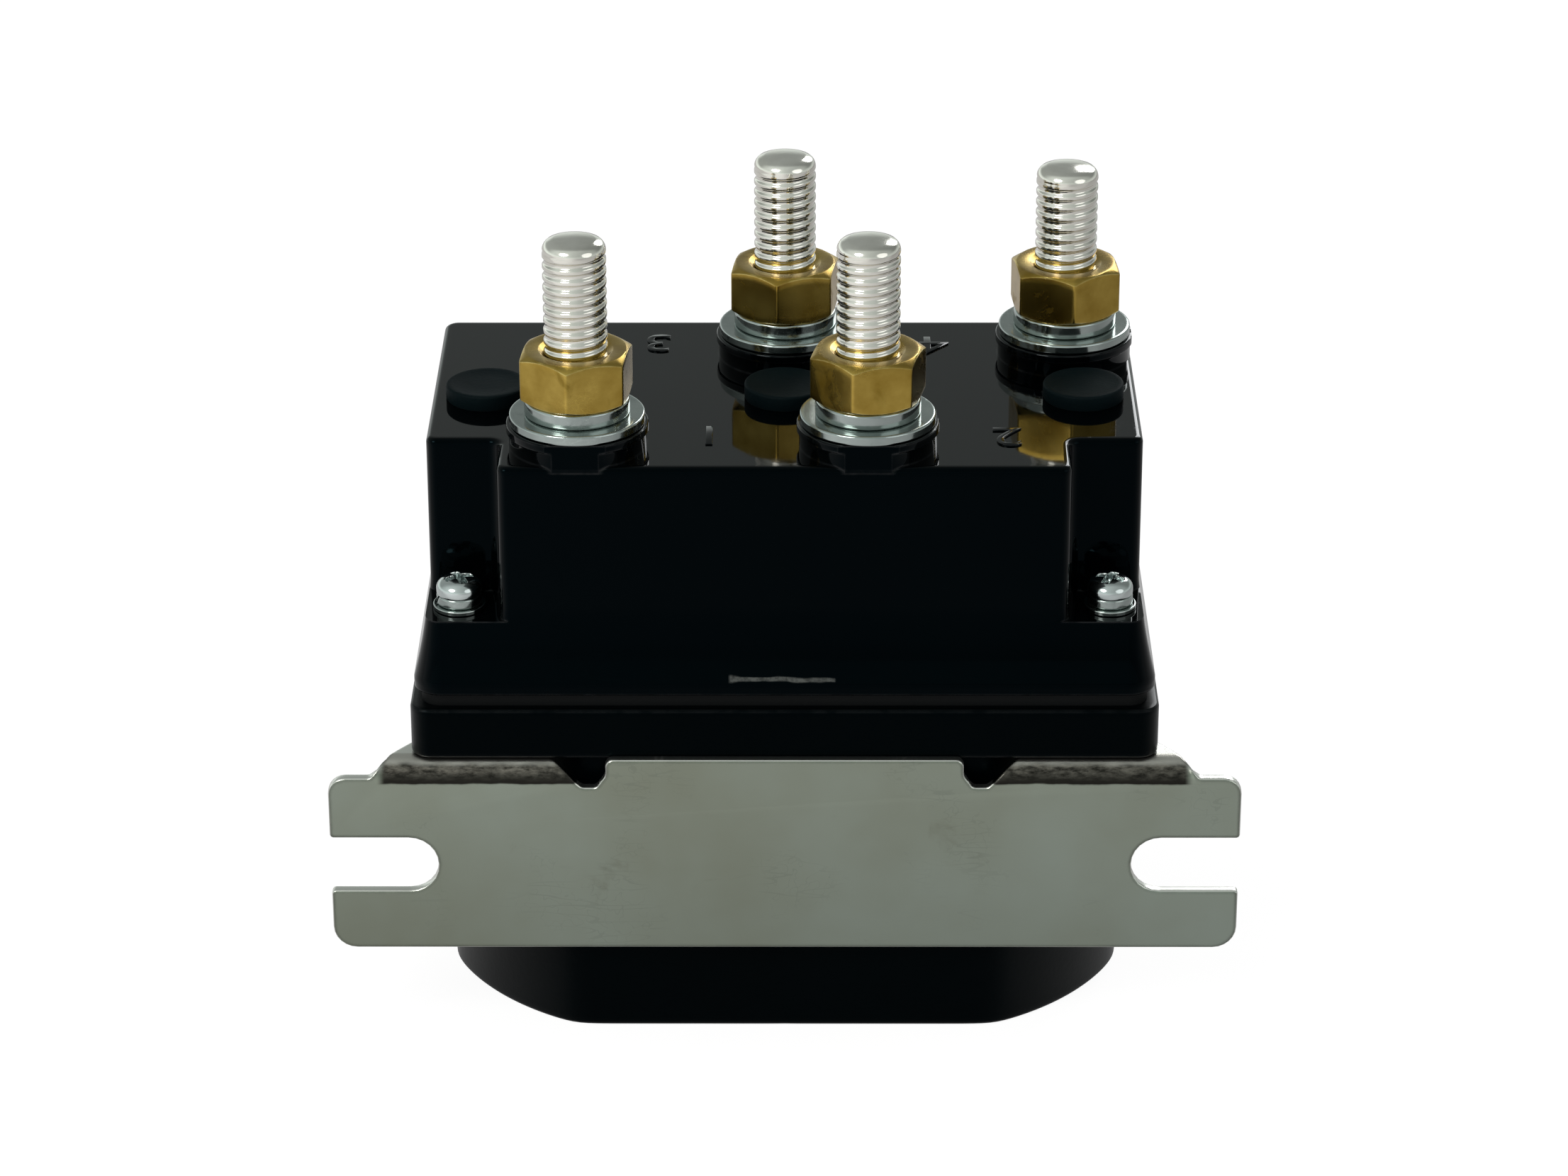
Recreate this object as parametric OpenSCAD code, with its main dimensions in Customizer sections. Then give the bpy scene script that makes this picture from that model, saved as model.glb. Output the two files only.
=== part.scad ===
// Changeover contactor: two solenoids under one moulded cover, each moving a double-throw bridge contact.
// Millimetres, +Z up, +X to the right, -Y towards the mounting plate.
// The origin is the centre of the flat underside of the lower body.

/* [Cover] */
// Height of the cover, from the seam to its top face
cover_h = 30.4; // [30:0.2:33]
// Side walls of the cover
cover_wall = 2.4; // [2:0.1:2.6]
// Roof of the cover
roof_t = 3.4; // [3:0.1:4.2]
// How far the skirt of the cover stands out at its foot
flare_w = 1.8; // [1.2:0.1:2.4]
// Height of the flared skirt
flare_h = 11; // [8:0.5:14]
// Open seam between cover and flange
seam_h = 1.8; // [1.2:0.1:2.4]

/* [Lower body] */
// Height of the lower body, up to the underside of its flange
base_h = 39.5; // [38:0.5:46]
// Wall of the lower body
base_wall = 2.2; // [1.8:0.1:2.6]
// Floor of the lower body
base_floor = 2.5; // [2:0.1:3]
// Radius of the big rounded corners of the lower body
corner_r = 34; // [32:0.5:36]
// Height of the flange round the top of the lower body
flange_h = 6.8; // [6:0.2:9]

/* [Corner pockets] */
// Width of a front corner pocket
pocket_w = 9.3; // [9:0.1:9.8]
// Depth of a front corner pocket, front to rear
pocket_d = 9.1; // [8.8:0.1:9.6]
// How far the floor of a pocket lies below the top face
pocket_drop = 20.8; // [18:0.2:22]

/* [Terminals] */
// Radius of a terminal stud
stud_r = 3.97; // [3.8:0.01:4.2]
// Length of stud that stands above its nut
stud_out = 14.6; // [10:0.2:20]
// Width across the flats of a terminal nut
nut_af = 13; // [12.5:0.1:13.5]
// Height of a terminal nut
nut_h = 6.4; // [5:0.2:7]
// Radius of a flat washer
washer_r = 8.5; // [8:0.1:9]
// Thickness of a flat washer
washer_t = 1.3; // [1:0.1:2]
// Radius of a spring washer
spring_washer_r = 6.6; // [6.2:0.1:7]
// Thickness of a spring washer
spring_washer_t = 2; // [1.6:0.1:2.4]

/* [Bracket] */
// How far each ear of the bracket reaches out past the flange
ear_out = 10.5; // [9:0.5:14]
// Height of the bracket's ears
ear_h = 24.2; // [22:0.2:26]
// Thickness of the bracket's sheet
sheet_t = 1.5; // [1.2:0.1:1.8]
// Width of the open mounting slots
slot_w = 7.5; // [6.5:0.1:9]
// Length of the open mounting slots
slot_len = 13.7; // [11:0.1:15]

/* [Solenoids] */
// Radius of a bobbin's flanges
bobbin_r = 15.3; // [13:0.1:17.5]
// Height of a bobbin
bobbin_h = 27; // [24:0.5:27]
// Radius of a plunger
plunger_r = 6.2; // [5.6:0.1:6.6]
// How far a plunger is pulled down
plunger_travel = 3.8; // [3.2:0.1:4]
// Gap that a bridge crosses between its upper and lower contacts
contact_gap = 3; // [2.4:0.1:3.1]

/* [Hidden] */

// One overrun serves every cut
over_cut = 1;
// Radial clearance of a running fit, and of a screw in its hole
fit_gap = 0.08;
round_fn = 64;

// The solenoids set the width: one on each side of the middle screw well, and a well outside each
case_post_r = 3;
bobbin_gap = 0.7;
well_edge = 6.9;
coil_x = bobbin_r + case_post_r + bobbin_gap;
well_x = 2 * coil_x;
WELL_X = [-well_x, 0, well_x];
cover_w = 2 * (well_x + well_edge);

// The plugs and the bosses set the depth: two rows of studs, a row of plugs midway between them
plug_r = 5.15;
boss_lip = 0.4;
boss_step = 0.3;
row_gap = 0.95;
row_edge = 9.6;
row_back = 1.5;
boss_lip_r = washer_r + boss_lip;
boss_r = boss_lip_r - boss_step;
row_half = boss_lip_r + plug_r + row_gap;
row_y = -row_back;
cover_d = 2 * (row_half + row_edge);
cover_r = 1.8;
// The skirt's curve: share of its height, and share of how far it stands out there
SKIRT_SHARES = [[0, 1], [0.12, 1], [0.45, 0.5], [1, 0]];

// The lower body and its flange follow the cover
base_in = 1;
base_out = 0.4;
lip_side = 0.5;
lip_front = 0.3;
base_w = cover_w - 2 * base_in;
base_d = cover_d + 2 * base_out;
flange_w = cover_w + 2 * (flare_w + lip_side);
flange_d = cover_d + 2 * (flare_w + lip_front);
flange_r = 2.6;
// How far the big corner circles lie outside the rectangle's sides
corner_cut_x = 2.1;
corner_cut_y = 3.4;
corner_in_x = corner_r - corner_cut_x;
corner_in_y = corner_r - corner_cut_y;

// Levels, from the underside of the lower body upwards
z_flange_top = base_h + flange_h;
z_cover = z_flange_top + seam_h;
z_top = z_cover + cover_h;
z_roof = z_top - roof_t;

// Terminals: 1 and 2 in front, beside the solenoids, 3 and 4 behind and to the right by the same pitch
left_out = 6.8;
right_in = 8.6;
stud_pitch = 2 * coil_x + left_out - right_in;
STUD_X = [-coil_x - left_out, coil_x - right_in, 0, stud_pitch];
STUD_Y = [row_y - row_half, row_y - row_half, row_y + row_half, row_y + row_half];
// The fourth stud is cut a little shorter than the others
short_by = 1.4;
STUD_OUT = [stud_out, stud_out, stud_out, stud_out - short_by];
// How far each nut is turned from a corner that faces the front, in degrees
NUT_TURN = [-7.4, -15, -8.3, 6.8];
// Where the split of each spring washer lies, in degrees
SPLIT_TURN = [-70, -105, -140, -175];
small_split_turn = 200;
boss_h = 3;
boss_lip_h = 1.1;
z_boss = z_top + boss_h;
z_spring_washer = z_boss + washer_t;
z_nut = z_spring_washer + spring_washer_t;
z_nut_top = z_nut + nut_h;
// Inside the nut the stud is drawn at the core of its thread
thread_depth = 0.55;
stud_core_r = stud_r - thread_depth;
stud_hole_r = stud_r + 2 * fit_gap;
stud_crown_h = 0.9;
stud_crown_r = 2.9;
seal_wire_r = 0.75;
seal_ring_r = 4.9;
seal_groove_r = 5.75;
seal_groove_h = 1.55;
head_r = 6;
head_flat = 9.4;
head_t = 3;

// Pockets and their screws
pocket_wall = 2.2;
pocket_floor = 2.8;
pocket_x = cover_w / 2 - pocket_w;
pocket_y = pocket_d - cover_d / 2;
z_pocket = z_top - pocket_drop;
screw_in_x = 5.3;
screw_in_y = 4.7;
screw_x = pocket_x + screw_in_x;
screw_y = pocket_y - screw_in_y;
screw_r = 1.5;
screw_head_r = 2.8;
screw_head_h = 2.3;
small_washer_r = 3.4;
small_washer_t = 0.5;
small_spring_r = 2.6;
small_spring_t = 0.8;
screw_post_r = 3.5;
screw_tip = 1.2;
recess_w = 0.8;
recess_l = 3.2;
recess_h = 1.2;

// Case screws in the wells, each well closed by a plug
well_r = 4.6;
well_post_r = 6;
well_floor_h = 8.2;
plug_h = 2.1;
plug_stem_h = 4;
plug_stem_r = well_r - fit_gap;
case_screw_r = 1.9;
case_screw_len = 40;
case_head_r = 3.6;
case_head_h = 2.6;
case_bore_spare = 2.5;
web_t = 1.6;

// Insulating plate in a rebate of the lower body
plate_t = 1.8;
plate_ledge = 1.2;
z_plate = z_flange_top - plate_t;
rod_hole_r = 2.6;

// Bracket: a flat plate in front of the flange, and two tabs bent back under it
ear_drop = 2.1;
z_ear = base_h - ear_drop;
bracket_foot = z_ear - ear_h;
bracket_w = flange_w + 2 * ear_out;
ear_r = 3;
tongue_rise = 0.5;
tongue_r = 1.2;
tab_over = 2.8;
tab_w = 20.3;
notch_w = 7.1;
tab_out = flange_w / 2 + tab_over;
tab_in = tab_out - tab_w;
tongue_w = 2 * (tab_in - notch_w);
tab_d = 13.5;
tab_slant = 3.2;
notch_r = 1.4;
bend_r = 1;
notch_drop = 0.8;
y_sheet_back = -flange_d / 2;
y_sheet = y_sheet_back - sheet_t;
bend_y = y_sheet_back + bend_r;
bend_z = base_h - sheet_t - bend_r;
slot_up = 12;
slot_z = bracket_foot + slot_up;
// Gap between a tab and the rounded side of the lower body
tab_gap = 0.4;

// Solenoids, from the floor upwards
yoke_t = 2.4;
yoke_w = 24;
bobbin_wall = 1.3;
bobbin_flange = 1.4;
winding_in = 0.7;
yoke_room = 0.9;
yoke_in = bobbin_r + yoke_room;
core_h = 13;
core_pin_r = 3;
z_yoke = base_floor;
z_bobbin = z_yoke + yoke_t;
z_top_plate = z_bobbin + bobbin_h;
z_top_plate_top = z_top_plate + yoke_t;
z_core_top = z_bobbin + core_h;
plunger_rest_gap = plunger_travel + fit_gap;
cap_r = 9.5;
cap_t = 1.5;
cap_room = 0.7;
z_cap_top = z_plate - cap_room;
z_cap = z_cap_top - cap_t;
rod_r = 2;
rod_seat = 8;

// Contacts, hung from the roof
copper_t = 2;
tip_r = 3;
tip_t = 1;
tip_y = 9.5;
bridge_t = 2.5;
bridge_w = 9;
bridge_end = 2.8;
bar_drop = 9.1;
z_upper_bar = z_roof - bar_drop;
z_rest = z_upper_bar - tip_t;
z_bridge_top = z_rest - tip_t;
z_bridge = z_bridge_top - bridge_t;
z_lower_tip = z_bridge - tip_t - contact_gap;
z_lower_bar = z_lower_tip - tip_t - copper_t;
arm_w = 8;
arm_reach = 3.5;
strap_gap = 0.5;
motor_strap_room = 0.9;
strap_clear = 1;
bar_front = 3;
bar_rear = 3.5;
bar_over = 4;
strap_room = 0.2;
rear_strap_y = cover_d / 2 - cover_wall - strap_room;
rear_strap_w = 10;
head_cover = 0.4;

// Bush, springs and retainer on each rod
bush_flange_r = 4.5;
bush_flange_t = 2;
bush_r = 3.2;
bush_over = 1.6;
contact_spring_h = 6.5;
contact_spring_mean = 4.05;
contact_wire = 0.7;
retainer_t = 1;
retainer_r = 4.9;
z_retainer = z_bridge_top + contact_spring_h;
rod_over = 0.8;
return_spring_mean = 8;
return_wire = 0.9;
contact_turns = 4;
return_turns = 3.5;
spring_rings = 14;
spring_sides = 8;

// Blade terminals in the rear wall
blade_w = 6.3;
blade_t = 0.8;
blade_pitch = 11;
blade_out = 9;
blade_in = 1.2;
blade_z = 20;
blade_hole_r = 0.8;
blade_tip = 1.6;
pad_w = 36;
pad_h = 11;
pad_t = 1.5;

// A rectangle with true round corners, centred on the origin
module rounded_rect(w, d, r) {
  square([w - 2 * r, d], center = true);
  square([w, d - 2 * r], center = true);
  for (sx = [-1, 1], sy = [-1, 1])
    translate([sx * (w / 2 - r), sy * (d / 2 - r)])
      circle(r, $fn = round_fn);
}

// Outline of the lower body: a rectangle whose corners follow big circles; inset draws it smaller
module base_outline(inset) {
  difference() {
    square([base_w - 2 * inset, base_d - 2 * inset], center = true);
    for (sx = [-1, 1], sy = [-1, 1])
      scale([sx, sy])
        corner_waste(inset);
  }
}

// What a rounded corner takes away from the rectangle
module corner_waste(inset) {
  cx = base_w / 2 - corner_in_x;
  cy = base_d / 2 - corner_in_y;
  difference() {
    translate([cx, cy])
      square([corner_in_x + over_cut, corner_in_y + over_cut]);
    translate([cx, cy])
      circle(corner_r - inset, $fn = 2 * round_fn);
    translate([cx, cy])
      square([corner_in_x / 2, corner_in_y / 2]);
  }
}

// A straight tube, standing on z
module tube(z, h, r_out, r_in) {
  translate([0, 0, z])
    difference() {
      cylinder(h = h, r = r_out, $fn = round_fn);
      translate([0, 0, -over_cut])
        cylinder(h = h + 2 * over_cut, r = r_in, $fn = round_fn);
    }
}

// A box from one corner to the opposite one
module span(a, b) {
  translate(a)
    cube(b - a);
}

// Ring of points round the wire of a helix at turn angle a
function wire_ring(a, z, mean, wire_r, sides) =
  [for (k = [0 : sides - 1])
    let (t = 360 * k / sides, r = mean + wire_r * cos(t))
      [r * cos(a), r * sin(a), z + wire_r * sin(t)]];

// A compression spring with closed ends, one unbroken wire between z and z + h
module helix_spring(z, h, mean, wire_r, turns) {
  n = round(turns * spring_rings);
  climb = h - 2 * wire_r;
  points = [for (i = [0 : n])
    for (p = wire_ring(360 * i / spring_rings, z + wire_r + climb * i / n, mean, wire_r, spring_sides)) p];
  s = spring_sides;
  side_faces = [for (i = [0 : n - 1], k = [0 : s - 1])
    for (f = [[i * s + k, (i + 1) * s + k, (i + 1) * s + (k + 1) % s],
              [i * s + k, (i + 1) * s + (k + 1) % s, i * s + (k + 1) % s]]) f];
  first_end = [for (k = [1 : s - 2]) [0, k, k + 1]];
  last_end = [for (k = [1 : s - 2]) [n * s, n * s + k + 1, n * s + k]];
  polyhedron(points = points, faces = concat(side_faces, first_end, last_end));
}

// A slice of the skirt: it stands out by out_low at its foot and by out_high at its top, with cone corners
module skirt_slice(z, h, out_low, out_high) {
  x_mid = cover_w / 2 - cover_r;
  y_mid = cover_d / 2 - cover_r;
  translate([0, 0, z]) {
    rotate([90, 0, 90])
      linear_extrude(2 * x_mid, center = true)
        skirt_section(cover_d / 2, h, out_low, out_high);
    rotate([90, 0, 0])
      linear_extrude(2 * y_mid, center = true)
        skirt_section(cover_w / 2, h, out_low, out_high);
    for (sx = [-1, 1], sy = [-1, 1])
      translate([sx * x_mid, sy * y_mid, 0])
        cylinder(h = h, r1 = cover_r + out_low, r2 = cover_r + out_high, $fn = round_fn);
  }
}

// Cross-section of a slice of the skirt; half is half the cover's width or depth above the skirt
module skirt_section(half, h, out_low, out_high) {
  polygon([[-half - out_low, 0], [half + out_low, 0], [half + out_high, h], [-half - out_high, h]]);
}

// The cover's outer form: an upright block on a flared skirt
module cover_form() {
  translate([0, 0, z_cover + flare_h])
    linear_extrude(cover_h - flare_h)
      rounded_rect(cover_w, cover_d, cover_r);
  for (i = [0 : len(SKIRT_SHARES) - 2]) {
    low = SKIRT_SHARES[i];
    high = SKIRT_SHARES[i + 1];
    skirt_slice(z_cover + flare_h * low[0], flare_h * (high[0] - low[0]), flare_w * low[1], flare_w * high[1]);
  }
}

// A stepped round boss under a washer, cut flush with the front of the cover
module stud_boss(i) {
  intersection() {
    union() {
      translate([STUD_X[i], STUD_Y[i], z_roof])
        cylinder(h = roof_t + boss_h - boss_lip_h, r = boss_r, $fn = round_fn);
      translate([STUD_X[i], STUD_Y[i], z_boss - boss_lip_h])
        cylinder(h = boss_lip_h, r = boss_lip_r, $fn = round_fn);
    }
    translate([-cover_w / 2, -cover_d / 2, z_roof - over_cut])
      cube([cover_w, cover_d, roof_t + boss_h + 2 * over_cut]);
  }
}

// Holes of the cover: studs, seal grooves, wells, pockets and screw holes
module cover_holes() {
  for (i = [0 : 3])
    translate([STUD_X[i], STUD_Y[i], 0]) {
      translate([0, 0, z_roof - over_cut])
        cylinder(h = roof_t + boss_h + 2 * over_cut, r = stud_hole_r, $fn = round_fn);
      translate([0, 0, z_boss - seal_groove_h])
        cylinder(h = seal_groove_h + over_cut, r = seal_groove_r, $fn = round_fn);
    }
  for (x = WELL_X)
    translate([x, row_y, 0]) {
      translate([0, 0, z_flange_top + well_floor_h])
        cylinder(h = z_top, r = well_r, $fn = round_fn);
      translate([0, 0, z_flange_top - over_cut])
        cylinder(h = well_floor_h + 2 * over_cut, r = case_screw_r + fit_gap, $fn = round_fn);
    }
  for (s = [-1, 1]) {
    scale([s, 1, 1])
      span([pocket_x, -cover_d, z_pocket], [cover_w, pocket_y, z_top + over_cut]);
    translate([s * screw_x, screw_y, z_flange_top - over_cut])
      cylinder(h = z_pocket - z_flange_top + 2 * over_cut, r = screw_r + fit_gap, $fn = round_fn);
  }
}

module top_cover() {
  color("#17181a")
    difference() {
      union() {
        difference() {
          cover_form();
          translate([0, 0, z_cover - over_cut])
            linear_extrude(cover_h - roof_t + over_cut)
              rounded_rect(cover_w - 2 * cover_wall, cover_d - 2 * cover_wall, cover_r);
        }
        for (i = [0 : 3])
          stud_boss(i);
        for (s = [-1, 1]) {
          scale([s, 1, 1])
            span([pocket_x - pocket_wall, -cover_d / 2 + cover_wall / 2, z_pocket - pocket_floor],
                 [cover_w / 2 - cover_wall / 2, pocket_y + pocket_wall, z_roof + roof_t / 2]);
          translate([s * screw_x, screw_y, z_flange_top])
            cylinder(h = z_pocket - z_flange_top - pocket_floor / 2, r = screw_post_r, $fn = round_fn);
        }
        intersection() {
          for (x = WELL_X)
            translate([x, row_y, z_flange_top])
              cylinder(h = z_roof + roof_t / 2 - z_flange_top, r = well_post_r, $fn = round_fn);
          union() {
            translate([0, 0, z_flange_top])
              linear_extrude(z_top)
                square([cover_w - 2 * cover_wall - 2 * fit_gap, cover_d], center = true);
            translate([0, 0, z_cover])
              linear_extrude(z_top)
                square([cover_w - cover_wall, cover_d], center = true);
          }
        }
      }
      cover_holes();
    }
}

module base_housing() {
  color("#1d1f21")
    difference() {
      union() {
        difference() {
          union() {
            linear_extrude(base_h)
              base_outline(0);
            translate([0, 0, base_h])
              linear_extrude(flange_h)
                rounded_rect(flange_w, flange_d, flange_r);
            translate([-pad_w / 2, base_d / 2 - base_wall, blade_z - pad_h / 2])
              cube([pad_w, base_wall + pad_t, pad_h]);
          }
          translate([0, 0, base_floor])
            linear_extrude(z_flange_top)
              base_outline(base_wall);
          translate([0, 0, z_plate])
            linear_extrude(z_flange_top)
              base_outline(base_wall - plate_ledge);
        }
        for (x = WELL_X)
          translate([x, row_y, base_floor / 2])
            cylinder(h = z_plate - base_floor / 2, r = case_post_r, $fn = round_fn);
        for (x = [WELL_X[0], WELL_X[2]])
          span([min(x, sign(x) * (base_w / 2 - base_wall / 2)), row_y - web_t / 2, base_floor / 2],
               [max(x, sign(x) * (base_w / 2 - base_wall / 2)), row_y + web_t / 2, z_plate]);
        span([-web_t / 2, -base_d / 2 + base_wall / 2, base_floor / 2], [web_t / 2, row_y, z_plate]);
      }
      for (x = WELL_X)
        translate([x, row_y, z_flange_top + well_floor_h - case_screw_len - case_bore_spare])
          cylinder(h = z_top, r = case_screw_r + fit_gap, $fn = round_fn);
      for (s = [-1, 1])
        translate([s * screw_x, screw_y, base_h - over_cut])
          cylinder(h = flange_h + 2 * over_cut, r = screw_r + fit_gap, $fn = round_fn);
      for (i = [-1 : 1])
        span([i * blade_pitch - blade_w / 2 - fit_gap / 2, base_d / 2 - base_wall - over_cut, blade_z - fit_gap / 2],
             [i * blade_pitch + blade_w / 2 + fit_gap / 2, base_d / 2 + pad_t + over_cut, blade_z + blade_t + fit_gap / 2]);
    }
}

module cover_gasket() {
  inset = (flange_w - cover_w) / 2 - flare_w / 2;
  color("#0b0b0c")
    translate([0, 0, z_flange_top])
      difference() {
        linear_extrude(seam_h)
          rounded_rect(flange_w - 2 * inset, flange_d - 2 * inset, flange_r);
        translate([0, 0, -over_cut])
          linear_extrude(seam_h + 2 * over_cut)
            rounded_rect(cover_w - 2 * cover_wall, cover_d - 2 * cover_wall, cover_r);
        for (s = [-1, 1])
          translate([s * screw_x, screw_y, -over_cut])
            cylinder(h = seam_h + 2 * over_cut, r = screw_post_r + fit_gap, $fn = round_fn);
      }
}

module insulating_plate() {
  color("#8a5a2b")
    translate([0, 0, z_plate])
      difference() {
        linear_extrude(plate_t)
          base_outline(base_wall - plate_ledge + fit_gap);
        for (s = [-1, 1])
          translate([s * coil_x, 0, -over_cut])
            cylinder(h = plate_t + 2 * over_cut, r = rod_hole_r, $fn = round_fn);
        for (x = WELL_X)
          translate([x, row_y, -over_cut])
            cylinder(h = plate_t + 2 * over_cut, r = case_screw_r + fit_gap, $fn = round_fn);
      }
}

// Front outline of the bracket's plate, drawn on X and Z
module bracket_outline() {
  mid = (bracket_foot + z_ear) / 2;
  difference() {
    union() {
      translate([0, mid])
        rounded_rect(bracket_w, ear_h, ear_r);
      translate([0, (bracket_foot + base_h + tongue_rise) / 2])
        rounded_rect(tongue_w, base_h + tongue_rise - bracket_foot, tongue_r);
    }
    for (s = [-1, 1])
      scale([s, 1]) {
        polygon([[tongue_w / 2, z_ear + over_cut],
                 [tongue_w / 2, bend_z - notch_drop + notch_r],
                 [tongue_w / 2 + notch_r, bend_z - notch_drop],
                 [tab_in - notch_r - notch_drop, bend_z - notch_drop],
                 [tab_in, bend_z],
                 [tab_out, bend_z],
                 [tab_out, z_ear + over_cut]]);
        translate([bracket_w / 2 - slot_len + slot_w / 2, slot_z])
          circle(slot_w / 2, $fn = round_fn);
        translate([bracket_w / 2 - slot_len + slot_w / 2, slot_z - slot_w / 2])
          square([slot_len, slot_w]);
      }
  }
}

// One tab: the bend and the flat part under the flange
module bracket_tab() {
  intersection() {
    translate([tab_in, bend_y, bend_z])
      rotate([90, 0, 90])
        difference() {
          cylinder(h = tab_out - tab_in, r = bend_r + sheet_t, $fn = round_fn);
          translate([0, 0, -over_cut])
            cylinder(h = tab_out - tab_in + 2 * over_cut, r = bend_r, $fn = round_fn);
        }
    span([tab_in, y_sheet, bend_z], [tab_out, bend_y, base_h]);
  }
  translate([0, 0, base_h - sheet_t])
    linear_extrude(sheet_t)
      difference() {
        polygon([[tab_in, bend_y], [tab_out, bend_y],
                 [tab_out - tab_slant, bend_y + tab_d], [tab_in + tab_slant / 2, bend_y + tab_d]]);
        base_outline(-tab_gap);
        translate([screw_x, screw_y])
          circle(screw_r + fit_gap / 2, $fn = round_fn);
      }
}

module mounting_bracket() {
  color("#8d938c") {
    translate([0, y_sheet_back, 0])
      rotate([90, 0, 0])
        linear_extrude(sheet_t)
          bracket_outline();
    for (s = [-1, 1])
      scale([s, 1, 1])
        bracket_tab();
  }
}

// A stud: flat-sided head under the roof, and a shank that is thinner inside the nut
module terminal_stud(i) {
  tip = z_nut_top + STUD_OUT[i];
  color("#c9c6bd")
    translate([STUD_X[i], STUD_Y[i], 0]) {
      rotate_extrude($fn = round_fn)
        polygon([[0, z_roof - copper_t], [stud_r, z_roof - copper_t], [stud_r, z_nut],
                 [stud_core_r, z_nut], [stud_core_r, z_nut_top], [stud_r, z_nut_top],
                 [stud_r, tip - stud_crown_h], [stud_crown_r, tip], [0, tip]]);
      translate([0, 0, z_roof - copper_t - head_t])
        linear_extrude(head_t)
          intersection() {
            circle(head_r, $fn = round_fn);
            square([2 * head_r, head_flat], center = true);
          }
    }
}

// A hexagon nut with both faces chamfered
module terminal_nut(i) {
  corner = nut_af / sqrt(3);
  chamfer = (corner - nut_af / 2) * tan(30);
  flat_r = nut_af / 2;
  color("#a98a3a")
    translate([STUD_X[i], STUD_Y[i], z_nut])
      rotate([0, 0, NUT_TURN[i] - 90])
        difference() {
          intersection() {
            cylinder(h = nut_h, r = corner, $fn = 6);
            rotate_extrude($fn = round_fn)
              polygon([[0, 0], [flat_r, 0], [corner, chamfer], [corner, nut_h - chamfer], [flat_r, nut_h], [0, nut_h]]);
          }
          translate([0, 0, -over_cut])
            cylinder(h = nut_h + 2 * over_cut, r = stud_core_r + fit_gap / 2, $fn = round_fn);
        }
}

// A split spring washer
module split_washer(t, r_out, r_in, turn) {
  rotate([0, 0, turn])
    difference() {
      cylinder(h = t, r = r_out, $fn = round_fn);
      translate([0, 0, -over_cut])
        cylinder(h = t + 2 * over_cut, r = r_in, $fn = round_fn);
      translate([0, -t / 4, -over_cut])
        cube([r_out + over_cut, t / 2, t + 2 * over_cut]);
    }
}

module terminal_spring_washers() {
  color("#b9c0c2")
    for (i = [0 : 3])
      translate([STUD_X[i], STUD_Y[i], z_spring_washer])
        split_washer(spring_washer_t, spring_washer_r, stud_r + 2 * fit_gap, SPLIT_TURN[i]);
}

module terminal_flat_washers() {
  color("#b4bcbf")
    for (i = [0 : 3])
      translate([STUD_X[i], STUD_Y[i], 0])
        tube(z_boss, washer_t, washer_r, stud_r + 2 * fit_gap);
}

module stud_seals() {
  color("#2a2a2a")
    for (i = [0 : 3])
      translate([STUD_X[i], STUD_Y[i], z_boss - seal_groove_h + seal_wire_r])
        rotate_extrude($fn = round_fn)
          translate([seal_ring_r, 0])
            circle(seal_wire_r, $fn = 24);
}

module screw_plug(x) {
  color("#202427")
    translate([x, row_y, z_top]) {
      cylinder(h = plug_h, r = plug_r, $fn = round_fn);
      translate([0, 0, -plug_stem_h])
        cylinder(h = plug_stem_h, r = plug_stem_r, $fn = round_fn);
    }
}

module case_screws() {
  seat = z_flange_top + well_floor_h;
  color("#9a9d9f")
    for (x = WELL_X)
      translate([x, row_y, 0])
        difference() {
          union() {
            translate([0, 0, seat])
              cylinder(h = case_head_h, r = case_head_r, $fn = round_fn);
            translate([0, 0, seat - case_screw_len])
              cylinder(h = case_screw_len + case_head_h / 2, r = case_screw_r, $fn = round_fn);
          }
          cross_recess(seat + case_head_h);
        }
}

// The cross recess of a screw head whose top is at z
module cross_recess(z) {
  for (a = [0, 90])
    rotate([0, 0, a])
      translate([-recess_l / 2, -recess_w / 2, z - recess_h])
        cube([recess_l, recess_w, recess_h + over_cut]);
}

// A pan-head screw from a pocket down into its bracket tab
module bracket_screw(side) {
  seat = z_pocket + small_washer_t + small_spring_t;
  color("#c4c8ca")
    translate([side * screw_x, screw_y, 0])
      difference() {
        union() {
          translate([0, 0, seat])
            cylinder(h = screw_head_h, r = screw_head_r, $fn = round_fn);
          translate([0, 0, base_h - sheet_t - screw_tip])
            cylinder(h = seat - base_h + sheet_t + screw_tip + screw_head_h / 2, r = screw_r, $fn = round_fn);
        }
        rotate([0, 0, 45 + 20 * side])
          cross_recess(seat + screw_head_h);
      }
}

module bracket_spring_washers() {
  color("#b9c0c2")
    for (s = [-1, 1])
      translate([s * screw_x, screw_y, z_pocket + small_washer_t])
        split_washer(small_spring_t, small_spring_r, screw_r + fit_gap, small_split_turn);
}

module bracket_flat_washers() {
  color("#b4bcbf")
    for (s = [-1, 1])
      translate([s * screw_x, screw_y, 0])
        tube(z_pocket, small_washer_t, small_washer_r, screw_r + fit_gap);
}

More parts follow.
